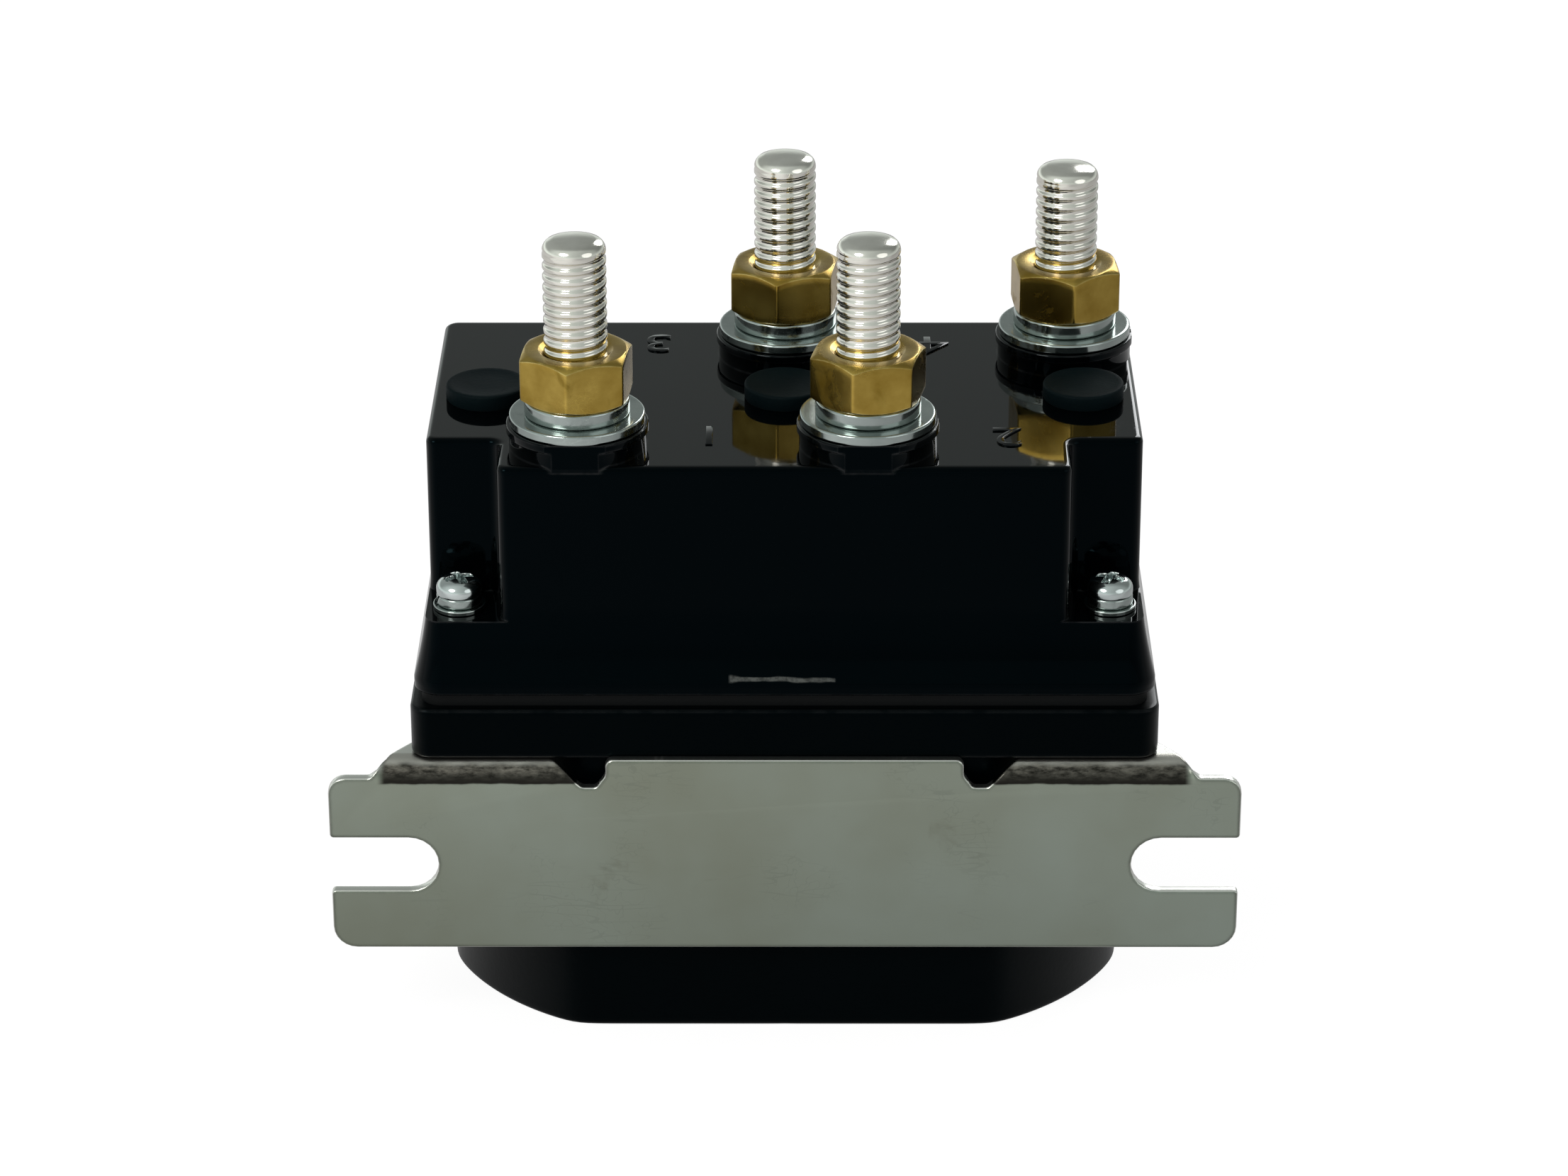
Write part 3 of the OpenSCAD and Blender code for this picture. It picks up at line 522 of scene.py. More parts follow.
class Finishes(Enum):
    """Every finish of the part, by the name of its material slot."""

    # The cover's and the housing's tints dim their gloss far below a plain plastic's, painted shade that
    # stands in for darker surroundings in their reflections. Their paler edge colours, with a plain gloss at
    # the edges, are painted highlights.
    COVER = Finish("cover_gloss", (0.0002, 0.0005, 0.0007), (0.0005, 0.0011, 0.0014), (0.045, 0.15),
                   tint=(0.02, 0.05, 0.065), mottle=(22.0, 1.4), smudge=(38.0, 0.30), scratch=0.25,
                   grain=(260.0, 0.006), edge=(0.003, 0.004, 0.005),
                   scuff=Scuff((-0.0003, -0.0262, 0.0503), (0.0068, 0.0025, 0.00038), (0.100, 0.107, 0.100)))
    HOUSING = Finish("housing_satin", (0.0002, 0.0007, 0.0009), (0.0005, 0.0016, 0.0020), (0.30, 0.48),
                     tint=(0.003, 0.018, 0.026), mottle=(30.0, 1.5), smudge=(30.0, 0.4),
                     grain=(1400.0, 0.05), edge=(0.002, 0.003, 0.004))
    SEAL = Finish("seal_rubber", (0.0015, 0.0020, 0.0022), (0.0035, 0.0042, 0.0045), (0.62, 0.8),
                  specular=0.15, grain=(1500.0, 0.08))
    PLUG = Finish("plug_rubber", (0.0010, 0.0040, 0.0052), (0.0030, 0.0085, 0.0100), (0.62, 0.80),
                  specular=0.05, mottle=(160.0, 1.6), smudge=(120.0, 0.4), grain=(1700.0, 0.16),
                  edge=(0.012, 0.017, 0.018), edge_radius=0.0003)
    # The bracket's near-white edge colour is a painted highlight on its rims and tab tops, beside a painted
    # dark shade line, and its bend colours are painted shade, light and a highlight along the crest.
    BRACKET = Finish("bracket_zinc", (0.262, 0.280, 0.215), (0.350, 0.402, 0.350), (0.28, 0.44), metal=1.0,
                     mottle=(26.0, 2.2), smudge=(60.0, 0.34), smudge_colour=(0.165, 0.165, 0.122),
                     scratch=0.28, scratch_scale=75.0, scratch_gain=0.35, grain=(700.0, 0.03),
                     edge=(0.95, 0.95, 0.90), painted_edge_shade=(0.045, 0.045, 0.04), edge_radius=0.0006,
                     bend_shade_and_crinkle=BendShadeAndCrinkle((0.016, 0.014, 0.012), (0.27, 0.25, 0.215), (0.62, 0.60, 0.55)))
    STUD = Finish("stud_steel", (0.70, 0.68, 0.61), (0.92, 0.90, 0.84), (0.13, 0.26), metal=1.0,
                  mottle=(240.0, 1.6), smudge=(180.0, 0.4), grain=(900.0, 0.04))
    NUT = Finish("nut_brass", (0.27, 0.165, 0.022), (0.50, 0.352, 0.082), (0.24, 0.40), metal=1.0,
                 mottle=(210.0, 2.2), smudge=(160.0, 0.5), smudge_colour=(0.20, 0.125, 0.012), scratch=0.4,
                 scratch_scale=200.0, grain=(600.0, 0.035), edge=(0.80, 0.66, 0.28), edge_radius=0.00025)
    WASHER = Finish("washer_zinc", (0.27, 0.31, 0.30), (0.43, 0.48, 0.46), (0.14, 0.26), metal=1.0,
                    mottle=(200.0, 1.6), smudge=(160.0, 0.45), smudge_colour=(0.19, 0.22, 0.21), scratch=0.3,
                    scratch_scale=200.0, grain=(800.0, 0.04), edge=(0.80, 0.84, 0.84), edge_radius=0.00025)
    SCREW = Finish("screw_zinc", (0.45, 0.50, 0.50), (0.66, 0.71, 0.70), (0.14, 0.26), metal=1.0,
                   mottle=(300.0, 1.6), smudge=(240.0, 0.4), grain=(900.0, 0.03), edge=(0.84, 0.86, 0.84),
                   edge_radius=0.0002)
    BOARD = Finish("board", (0.16, 0.085, 0.030), (0.25, 0.145, 0.060), (0.45, 0.62), mottle=(140.0, 2.0),
                   grain=(1200.0, 0.12))
    COPPER = Finish("copper", (0.52, 0.20, 0.10), (0.72, 0.33, 0.18), (0.20, 0.36), metal=1.0,
                    mottle=(120.0, 1.8), smudge=(90.0, 0.5), smudge_colour=(0.26, 0.10, 0.05), scratch=0.4)
    SILVER = Finish("silver", (0.70, 0.69, 0.65), (0.88, 0.87, 0.84), (0.18, 0.32), metal=1.0,
                    mottle=(300.0, 1.6), smudge=(260.0, 0.5), smudge_colour=(0.30, 0.29, 0.26))
    BLADE = Finish("blade_brass", (0.46, 0.36, 0.15), (0.62, 0.50, 0.24), (0.22, 0.36), metal=1.0,
                   mottle=(160.0, 1.7), smudge=(120.0, 0.4), smudge_colour=(0.30, 0.22, 0.08), scratch=0.4,
                   edge=(0.80, 0.70, 0.42), edge_radius=0.0002)
    IRON = Finish("magnet_iron", (0.22, 0.23, 0.22), (0.36, 0.37, 0.35), (0.30, 0.46), metal=1.0,
                  mottle=(90.0, 1.8), scratch=0.4, edge=(0.50, 0.51, 0.50))
    NYLON = Finish("bobbin_nylon", (0.60, 0.56, 0.45), (0.74, 0.71, 0.60), (0.38, 0.52),
                   mottle=(70.0, 1.4), grain=(1100.0, 0.06))
    WINDING = Finish("winding_enamel", (0.20, 0.045, 0.012), (0.36, 0.10, 0.03), (0.18, 0.30), metal=0.35,
                     mottle=(180.0, 1.6), grain=(900.0, 0.02), wire_pitch=0.00055)
    SPRING = Finish("spring_steel", (0.30, 0.31, 0.31), (0.46, 0.47, 0.47), (0.20, 0.34), metal=1.0,
                    mottle=(220.0, 1.6))


class Coat(Tree):
    """One material's node tree, whose layers change its colour, roughness or height in turn.

    A share is how much of a layer's colour shows where its mask is full, a rough value is how much it
    adds to the roughness there, and a height is how much it adds to the bumps.
    """

    smudge_share: float = 0.6
    scratch_share: float = 0.5
    scratch_rough: float = 0.25
    # Share of the painted shade and light in a bend
    bend_shade_share: float = 0.98
    # Share of the painted shade line along the bracket's edges
    edge_shade_share: float = 0.8
    # Share of the edge colour: real abrasion on metal parts, a painted highlight on the cover, housing and
    # bracket
    edge_colour_share: float = 0.8
    # Share of the plain gloss at a tinted finish's edges, a painted sheen
    edge_sheen_share: float = 0.7
    scuff_rough: float = 0.35
    wire_height: float = 2.0

    def __init__(self, tree: bpy.types.NodeTree, finish: Finish,
                 effects: dict[Effect, bpy.types.NodeTree]) -> None:
        """Starts with what every finish has: uneven tone, smudges and grain.

        Args:
            tree: The material's tree.
            finish: The finish that it shows.
            effects: The shared effects.
        """
        super().__init__(tree)
        self.finish, self.effects = finish, effects
        self.place = self.add("TexCoord").outputs["Object"]
        tone = self.effect(Effect.MOTTLE, Scale=finish.mottle[0], Contrast=finish.mottle[1])
        self.colour = self.blend(tone, finish.dark, finish.light)
        smudges = self.effect(Effect.SMUDGE, Scale=finish.smudge[0], Cover=finish.smudge[1])
        if finish.smudge_colour:
            self.colour = self.blend(self.product(smudges, self.smudge_share), self.colour,
                                     finish.smudge_colour)
        self.rough = self.ramp(smudges, 0.0, 1.0, *finish.rough)
        self.height = self.effect(Effect.GRAIN, Scale=finish.grain[0])
        self.tint: object = (*finish.tint, 1.0)
        self.rim: Socket | None = None

    def effect(self, effect: Effect, **numbers: float) -> Socket:
        """Output of a shared effect with these numbers."""
        return self.add("Group", {"Vector": self.place, **numbers},
                        node_tree=self.effects[effect]).outputs[0]

    def scratch(self) -> None:
        """Draws fine scratches in their own tone, a little rougher than the rest."""
        lines = self.effect(Effect.SCRATCH, Scale=self.finish.scratch_scale)
        marks = self.product(lines, self.finish.scratch)
        tone = tuple(part * self.finish.scratch_gain for part in self.finish.light)
        self.colour = self.blend(self.product(marks, self.scratch_share), self.colour, tone)
        self.rough = self.math("ADD", self.rough, self.product(marks, self.scratch_rough))

    def bend_shade_and_crinkle(self) -> None:
        """Paints shade and light on the outside of the bent tabs, and crinkles them with bumps.

        The zone has painted shade along its foot, painted light that rises up it with the crinkles, and a
        painted highlight along its crest. Outside it, a surface that turns away from the plate's two faces,
        a sheared rim or the top of a tab, is the mask of the bright edge colour, a painted highlight.
        """
        bend_shade_and_crinkle = self.finish.bend_shade_and_crinkle
        part = self.add("SeparateXYZ", {0: self.place})
        across = self.math("ABSOLUTE", part.outputs["X"])
        wander_scale, wander_height = bend_shade_and_crinkle.wander
        wander = self.math("SUBTRACT", self.noise(self.place, wander_scale), 0.5)
        uneven = self.product(wander, wander_height)
        rise = self.math("ADD", part.outputs["Z"], uneven)
        ends = self.product(self.ramp(across, *bend_shade_and_crinkle.inner), self.ramp(across, *bend_shade_and_crinkle.outer))
        zone = self.product(self.ramp(rise, *bend_shade_and_crinkle.foot), self.ramp(part.outputs["Y"], *bend_shade_and_crinkle.front), ends)
        stretched = self.add("Mapping", {"Vector": self.place, "Scale": bend_shade_and_crinkle.stretch}).outputs[0]
        crinkle_scale, crinkle_strength = bend_shade_and_crinkle.crinkle
        crinkle = self.noise(stretched, crinkle_scale, 5.0, 0.66)
        # Painted light that rises up the bend with the crinkles
        lit = self.product(self.ramp(crinkle, *bend_shade_and_crinkle.lit), self.ramp(rise, *bend_shade_and_crinkle.climb))
        # Painted shade and light, then a painted highlight along the crest
        shaded_bend = self.blend(lit, bend_shade_and_crinkle.dark, bend_shade_and_crinkle.light)
        shaded_bend = self.blend(self.ramp(rise, *bend_shade_and_crinkle.top), shaded_bend, bend_shade_and_crinkle.crest)
        # Rims and tab tops, where the bracket's edge colour goes as a painted highlight
        normal = self.add("SeparateXYZ", {0: self.add("NewGeometry").outputs["Normal"]})
        turned = self.ramp(self.math("ABSOLUTE", normal.outputs["Y"]), *bend_shade_and_crinkle.rim)
        self.rim = self.product(turned, self.math("SUBTRACT", 1.0, zone))
        self.colour = self.blend(self.product(zone, self.bend_shade_share), self.colour, shaded_bend)
        self.height = self.math("ADD", self.height, self.product(crinkle, zone, crinkle_strength))

    def edge_wear_and_highlights(self) -> None:
        """Colours the edges in the finish's edge colour: real abrasion on the nuts, washers, screws and
        other metal parts, and a painted highlight on the cover and the housing. Where the finish has a dark
        edge line, that line is painted shade along the edges, and the edge colour goes only on the rims and
        tab tops, as a painted highlight. Where the finish tints its gloss, an edge has a plain gloss, a
        painted sheen.
        """
        finish = self.finish
        edge_mask = self.effect(Effect.EDGE, Radius=finish.edge_radius)
        # A painted shade line beside the edges, then the edge colour as a painted highlight on rims and tab
        # tops only
        if finish.painted_edge_shade:
            line = self.ramp(edge_mask, 0.0, 0.2, 0.0, self.edge_shade_share)
            self.colour = self.blend(line, self.colour, finish.painted_edge_shade)
            edge_mask = self.rim
        self.colour = self.blend(self.product(edge_mask, self.edge_colour_share), self.colour, finish.edge)
        # Plain gloss at the edges of a tinted finish, a painted sheen
        if finish.tint != WHITE:
            self.tint = self.blend(self.product(edge_mask, self.edge_sheen_share), finish.tint, WHITE)

    def scuff(self) -> None:
        """Adds a pale rubbed streak: a band along X that wanders a little in Z, broken by noise."""
        scuff = self.finish.scuff
        moved = self.add("VectorMath", {0: self.place, 1: scuff.centre}, operation="SUBTRACT").outputs[0]
        scaled = self.add("VectorMath", {0: moved, 1: scuff.reach}, operation="DIVIDE").outputs[0]
        part = self.add("SeparateXYZ", {0: scaled}).outputs
        wander_scale, wander_size = scuff.wander
        bend = self.math("SUBTRACT", self.noise(self.place, wander_scale, 1.0), 0.5)
        across = self.math("ABSOLUTE", self.math("ADD", part["Z"], self.product(bend, wander_size)))
        wide = self.ramp(part["X"], *scuff.widening)
        inside = self.product(self.ramp(self.math("DIVIDE", across, wide), *scuff.fade),
                              *(self.ramp(self.math("ABSOLUTE", part[axis]), *scuff.ends) for axis in "XY"))
        speckle = self.ramp(self.noise(self.place, scuff.speckle_scale, 4.0, 0.7), *scuff.speckle)
        mask = self.product(inside, speckle)
        self.colour = self.blend(mask, self.colour, scuff.colour)
        self.rough = self.math("ADD", self.rough, self.product(mask, self.scuff_rough))

    def wind(self) -> None:
        """Raises the turns of a winding: waves along Z, one to each pitch of the wire.

        The texture's bands are a sine of its own rate times its scale times the height.
        """
        scale = TAU / self.finish.wire_pitch / WAVE_RATE
        wires = self.add("TexWave", {"Vector": self.place, "Scale": scale}, bands_direction="Z",
                         wave_type="BANDS").outputs[1]
        self.height = self.math("ADD", self.height, self.product(wires, self.wire_height))

    def close(self) -> None:
        """Puts the layers' result on the shader, with the height as a bump."""
        bump = self.add("Bump", {"Height": self.height, "Strength": self.finish.grain[1],
                                 "Distance": BUMP_DEPTH})
        shader = self.add("BsdfPrincipled", {
            "Base Color": self.colour, "Roughness": self.rough, "Metallic": self.finish.metal,
            "Specular IOR Level": self.finish.specular, "Specular Tint": self.tint,
            "Normal": bump.outputs[0]})
        output = self.add("OutputMaterial", {"Surface": shader.outputs[0]})
        output.is_active_output = True


class PaintShop:
    """Builds each finish's material once, from the shared effects."""

    def __init__(self) -> None:
        """Builds the shared effects."""
        self.effects = {Effect.MOTTLE: uneven_tone(), Effect.SMUDGE: finger_smudges(),
                        Effect.SCRATCH: fine_scratches(), Effect.GRAIN: surface_grain(),
                        Effect.EDGE: wear_and_highlight_edge_mask()}
        self.made: dict[Finishes, bpy.types.Material] = {}

    def material(self, kind: Finishes) -> bpy.types.Material:
        """The material of a finish, with the layers that it asks for.

        Args:
            kind: Which finish.

        Returns:
            The material, the same one for every piece that asks.
        """
        if kind not in self.made:
            finish = kind.value
            material = bpy.data.materials.new(finish.slot + "_dressed")
            material.use_nodes = True
            coat = Coat(material.node_tree, finish, self.effects)
            for wanted, lay in ((finish.scratch, coat.scratch), (finish.bend_shade_and_crinkle, coat.bend_shade_and_crinkle),
                                (finish.edge, coat.edge_wear_and_highlights), (finish.scuff, coat.scuff),
                                (finish.wire_pitch, coat.wind)):
                if wanted:
                    lay()
            coat.close()
            self.made[kind] = material
        return self.made[kind]


@dataclass
class Bench:
    """Places finished meshes in the scene, on their bodies, and hides the CAD nodes that they replace."""

    paint: PaintShop

    def place(self, mesh: bpy.types.Mesh, finish: Finishes, *nodes: str,
              body: str = ROOT) -> bpy.types.Object:
        """Makes the object, dresses it, and lets it stand for the CAD nodes it replaces.

        Args:
            mesh: The mesh, with its place in it.
            finish: The finish of its material slot.
            *nodes: CAD nodes that it stands for.
            body: The body that it moves with.

        Returns:
            The object.
        """
        piece = bpy.data.objects.new(mesh.name, mesh)
        bpy.context.scene.collection.objects.link(piece)
        mesh.materials.append(self.paint.material(finish))
        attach(piece, body)
        if nodes:
            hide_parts(*nodes)
        LOG.info("%s: %d faces, replaces %s", piece.name, len(mesh.polygons), ", ".join(nodes) or "nothing")
        return piece


# Sub-assemblies


@dataclass
class Cover:
    """Glossy top cover: flared skirt, two open front corner pockets, four stepped round bosses."""

    half_w: float = 44.9
    half_d: float = 24.6
    foot: float = 48.1
    top: float = 78.5
    flare: float = 1.8
    flare_h: float = 11.0
    flare_flat: float = 1.32
    flare_power: float = 1.35
    wall: float = 2.4
    roof: float = 75.1
    pocket_x: float = 35.6
    pocket_y: float = -15.5
    pocket_z: float = 57.7
    pocket_step: float = 0.02
    upright_r: float = 1.8
    notch_out_r: float = 1.3
    notch_in_r: float = 1.5
    foot_r: float = 0.35
    edge_r: float = 0.75
    sharp: float = 18.0
    shares: tuple[float, ...] = (0.012, 0.06, 0.5, 0.94, 0.988)
    boss_r: float = 8.6
    boss_top: float = 81.5
    boss_sunk: float = 0.7
    lip_r: float = 8.9
    lip_h: float = 1.1
    lip_edge_r: float = 0.22
    seat_r: float = 5.75
    seat_deep: float = 1.5
    bore_r: float = 4.13
    bore_deep: float = 3.0

    def outlines(self) -> tuple[Array, Array]:
        """Corners of the cover's outline.

        Returns:
            The plain outline and the one with pockets, matched point by point.
        """
        w, d, x, y = self.half_w, self.half_d, self.pocket_x, self.pocket_y
        a, b, r = self.notch_out_r, self.notch_in_r, self.upright_r
        pocketed = np.array([[-x, -d, a], [x, -d, a], [x, y, b], [w, y, a],
                             [w, d, r], [-w, d, r], [-w, y, a], [-x, y, b]])
        plain = pocketed.copy()
        plain[[2, 7]] = [[w, -d, r], [-w, -d, r]]
        return plain, pocketed

    def flare_at(self, z: float) -> float:
        """How far the skirt stands out at z: full at the foot, then falling as a power of what is left."""
        rest = (self.foot + self.flare_h - z) / (self.flare_h - self.flare_flat)
        return self.flare * min(1.0, max(0.0, rest)) ** self.flare_power

    def shell(self) -> Array:
        """The cover, from the roof's underside down the inside, out, and up to the top face.

        Rows lie close together beside each edge, so that the flat faces are shaded flat.

        Returns:
            Rows by columns by 3.
        """
        plain, pocketed = self.outlines()
        rows: list[tuple[Array, float, float]] = [
            (pocketed, self.wall + 0.4, self.roof), (pocketed, self.wall, self.roof),
            (pocketed, self.wall, self.foot + 1.0), (pocketed, self.wall, self.foot)]
        rows += [(plain, inset - self.flare, self.foot + drop)
                 for inset, drop in edge_round(self.foot_r, 4)[::-1]]
        flat_top, flare_top = self.foot + self.flare_flat, self.foot + self.flare_h
        skirt = np.concatenate([np.linspace(self.foot + 0.5, flat_top, 3),
                                np.linspace(flat_top + 0.5, self.pocket_z - 0.3, 16)])
        rows += [(plain, -self.flare_at(z), z) for z in skirt]
        rows.append((plain, -self.flare_at(self.pocket_z), self.pocket_z - self.pocket_step))
        rows += [(pocketed, -self.flare_at(self.pocket_z + up), self.pocket_z + up)
                 for up in (self.pocket_step, 0.3, 0.8)]
        rows += [(pocketed, 0.0, z) for z in (flare_top, flare_top + 0.6, self.top - self.edge_r - 0.5)]
        rows += [(pocketed, inset, self.top - drop) for inset, drop in edge_round(self.edge_r, 6)]
        rows.append((pocketed, self.edge_r + 0.4, self.top))
        return np.stack([level(rounded_outline(c, inset, 8, self.shares), z) for c, inset, z in rows])

    def boss(self, centre: Pair) -> Array:
        """A stepped boss, its points drawn back to the planes of the cover's front and sides.

        Args:
            centre: X and Y of its stud.

        Returns:
            Rows by columns by 3, from below the top face up, over the lip and down into the bore.
        """
        step, seat = self.boss_top - self.lip_h, self.boss_top - self.seat_deep
        profile = [(self.boss_r, self.top - self.boss_sunk), (self.boss_r, self.top + 0.05),
                   (self.boss_r, step - 0.25), (self.boss_r + 0.05, step - 0.05),
                   (self.lip_r - 0.1, step), (self.lip_r, step + 0.12)]
        profile += [(self.lip_r - inset, self.boss_top - drop)
                    for inset, drop in edge_round(self.lip_edge_r, 4)]
        profile += [(self.lip_r - 0.6, self.boss_top), (self.seat_r, self.boss_top), (self.seat_r, seat),
                    (self.bore_r, seat), (self.bore_r, self.boss_top - self.bore_deep)]
        rows = revolve(np.array(profile), centre, 128)
        rows[:, :, 0] = np.clip(rows[:, :, 0], -self.half_w, self.half_w)
        rows[:, :, 1] = np.maximum(rows[:, :, 1], -self.half_d)
        return rows

    def build(self, bench: Bench, studs: list[Pair]) -> None:
        """Makes the cover with its bosses as one piece.

        Args:
            bench: Where it is made.
            studs: X and Y of each stud.
        """
        shell = Shell("glossy_cover")
        shell.grid(self.shell())
        for centre in studs:
            shell.grid(self.boss(centre))
        bench.place(shell.mesh(self.sharp), Finishes.COVER, "top_cover")


@dataclass
class Numerals:
    """Low raised numbers beside the studs, read from behind the part."""

    top: float = 78.5
    height: float = 6.0
    font_gain: float = 1.35
    relief: float = 0.16
    bevel: float = 0.05
    sharp: float = 30.0
    places: tuple[tuple[str, float, float], ...] = (
        ("1", -9.4, -14.1), ("2", 27.9, -14.6), ("3", -16.6, 16.7), ("4", 19.3, 16.0))

    def build(self, bench: Bench) -> None:
        """Makes each number from the built-in font, then joins them into one mesh.

        Args:
            bench: Where the mesh is placed.
        """
        joined = bmesh.new()
        for text, x, y in self.places:
            curve = bpy.data.curves.new("number", "FONT")
            curve.body = text
            curve.align_x, curve.align_y = "CENTER", "CENTER"
            curve.size = self.height * self.font_gain * MM
            curve.extrude = self.relief * MM
            curve.bevel_depth = self.bevel * MM
            curve.bevel_resolution = 1
            holder = bpy.data.objects.new("number", curve)
            bpy.context.scene.collection.objects.link(holder)
            bpy.context.view_layer.update()
            graph = bpy.context.evaluated_depsgraph_get()
            flat = bpy.data.meshes.new_from_object(holder.evaluated_get(graph))
            shift = Matrix.Translation(Vector((x, y, self.top)) * MM)
            flat.transform(shift @ Matrix.Rotation(math.pi, 4, "Z"))
            joined.from_mesh(flat)
            bpy.data.objects.remove(holder)
            bpy.data.curves.remove(curve)
            bpy.data.meshes.remove(flat)
        bmesh.ops.remove_doubles(joined, verts=joined.verts, dist=MERGE_DISTANCE)
        bmesh.ops.recalc_face_normals(joined, faces=joined.faces)
        mesh = bpy.data.meshes.new("terminal_numbers")
        joined.to_mesh(mesh)
        joined.free()
        finish_mesh(mesh, self.sharp)
        bench.place(mesh, Finishes.COVER)


@dataclass
class LowerBody:
    """Satin lower body with big round corners, the flange round its top, and the pad of the blades."""

    half_w: float = 43.9
    half_d: float = 25.0
    arc_x: float = 12.0
    arc_y: float = -5.6
    arc_r: float = 34.0
    under: float = 39.5
    top: float = 46.3
    flange_w: float = 47.2
    flange_d: float = 26.7
    flange_r: float = 2.6
    flange_edge_r: float = 0.5
    wall: float = 2.2
    ledge: float = 1.0
    ledge_z: float = 44.5
    floor: float = 2.5
    edge_r: float = 0.6
    softness: float = 75.0
    wall_rows: Point = (1.2, 20.0, 39.0)
    sharp: float = 18.0
    quarter_points: int = 61
    shared_points: int = 3
    pad_half: float = 18.0
    pad_low: float = 14.5
    pad_high: float = 25.5
    pad_rear: float = 26.5
    pad_r: float = 1.5
    pad_edge_r: float = 0.4

    def body_quadrant(self, inset: float) -> Array:
        """A quarter of the body's outline, from +X to +Y: side, arc about (arc_x, arc_y), rear.

        The distance from the arc's centre is the minus softness-th root of the summed powers of the
        reciprocals of the arc's radius and the distances to side and rear, so they meet softly.

        Args:
            inset: How far the outline moves inwards.

        Returns:
            Points by 2.
        """
        x, y, r = self.half_w - inset, self.half_d - inset, self.arc_r - inset
        start, stop = math.atan2(-self.arc_y, x - self.arc_x), math.atan2(y - self.arc_y, -self.arc_x)
        angle = np.linspace(start, stop, self.quarter_points)
        near = np.maximum(np.cos(angle), 0.0) / (x - self.arc_x), np.sin(angle) / (y - self.arc_y)
        total = (1.0 / r) ** self.softness + near[0] ** self.softness + near[1] ** self.softness
        away = total ** (-1.0 / self.softness)
        quarter = np.column_stack([self.arc_x + away * np.cos(angle), self.arc_y + away * np.sin(angle)])
        quarter[0, 1], quarter[-1, 0] = 0.0, 0.0
        return quarter

    def flange_quadrant(self, inset: float) -> Array:
        """A quarter of the flange's outline, with as many points as the body's.

        The first and last few lie in line with the body's, and the rest spread over the side, the arc of
        the corner and the rear.

        Args:
            inset: How far the outline moves inwards.

        Returns:
            Points by 2.
        """
        x, y = self.flange_w - inset, self.flange_d - inset
        r, kept = max(self.flange_r - inset, 0.1), self.shared_points
        body = self.body_quadrant(0.0)
        angle = np.linspace(0.0, math.pi / 2.0, 11)
        straight = (len(body) - len(angle)) // 2 - kept
        arc = np.column_stack([x - r + r * np.cos(angle), y - r + r * np.sin(angle)])
        side = np.column_stack([np.full(straight, x), np.linspace(body[kept, 1], y - r, straight + 1)[:-1]])
        rear = np.column_stack([np.linspace(x - r, body[-kept - 1, 0], straight + 1)[1:],
                                np.full(straight, y)])
        ends = body.copy()
        ends[:kept, 0], ends[-kept:, 1] = x, y
        return np.concatenate([ends[:kept], side, arc, rear, ends[-kept:]])

    def four_fold(self, quarter: Array) -> Array:
        """The whole outline: the quarter, then its mirror images, counter-clockwise."""
        forth, back = quarter[:-1], quarter[:0:-1]
        return np.concatenate([forth, back * [-1, 1], -forth, back * [1, -1]])

    def shell(self) -> Array:
        """The body, from the underside up the outer wall, round the flange, and down inside to the floor.

        Returns:
            Rows by columns by 3.
        """
        steps = [(self.body_quadrant, self.edge_r + 0.5, 0.0)]
        steps += [(self.body_quadrant, inset, drop) for inset, drop in edge_round(self.edge_r, 5)[::-1]]
        steps += [(self.body_quadrant, 0.0, z) for z in (*self.wall_rows, self.under)]
        edge = edge_round(self.flange_edge_r, 4)
        steps.append((self.flange_quadrant, 1.0, self.under))
        steps += [(self.flange_quadrant, inset, self.under + drop) for inset, drop in edge[::-1]]
        steps += [(self.flange_quadrant, 0.0, z) for z in (self.under + 0.9, self.top - 0.9)]
        steps += [(self.flange_quadrant, inset, self.top - drop) for inset, drop in edge]
        steps.append((self.flange_quadrant, 0.9, self.top))
        steps += [(self.body_quadrant, inset, z)
                  for inset, z in ((self.ledge, self.top), (self.ledge, self.ledge_z),
                                   (self.wall, self.ledge_z), (self.wall, self.floor),
                                   (self.wall + 0.5, self.floor))]
        return np.stack([level(self.four_fold(quadrant(inset)), z) for quadrant, inset, z in steps])

    def pad_rows(self) -> Array:
        """The pad behind the blades: a rounded rectangle on X and Z, drawn out along Y.

        Returns:
            Rows by columns by 3.
        """
        corners = np.array([[x, z, self.pad_r]
                            for x, z in ((-self.pad_half, self.pad_low), (self.pad_half, self.pad_low),
                                         (self.pad_half, self.pad_high), (-self.pad_half, self.pad_high))])
        steps = [(0.0, self.half_d - 1.5), (0.0, self.pad_rear - 0.5)]
        steps += [(inset, self.pad_rear - drop) for inset, drop in edge_round(self.pad_edge_r, 4)]
        steps.append((2.0 * self.pad_edge_r, self.pad_rear))
        rows = [rounded_outline(corners, inset, 6)[::-1] for inset, _ in steps]
        return np.stack([np.insert(row, 1, y, axis=1) for row, (_, y) in zip(rows, steps)])

    def build(self, bench: Bench) -> None:
        """Makes the lower body as one piece.

        Args:
            bench: Where it is made.
        """
        shell = Shell("satin_lower_body")
        shell.grid(self.shell())
        shell.grid(self.pad_rows())
        bench.place(shell.mesh(self.sharp), Finishes.HOUSING, "base_housing")


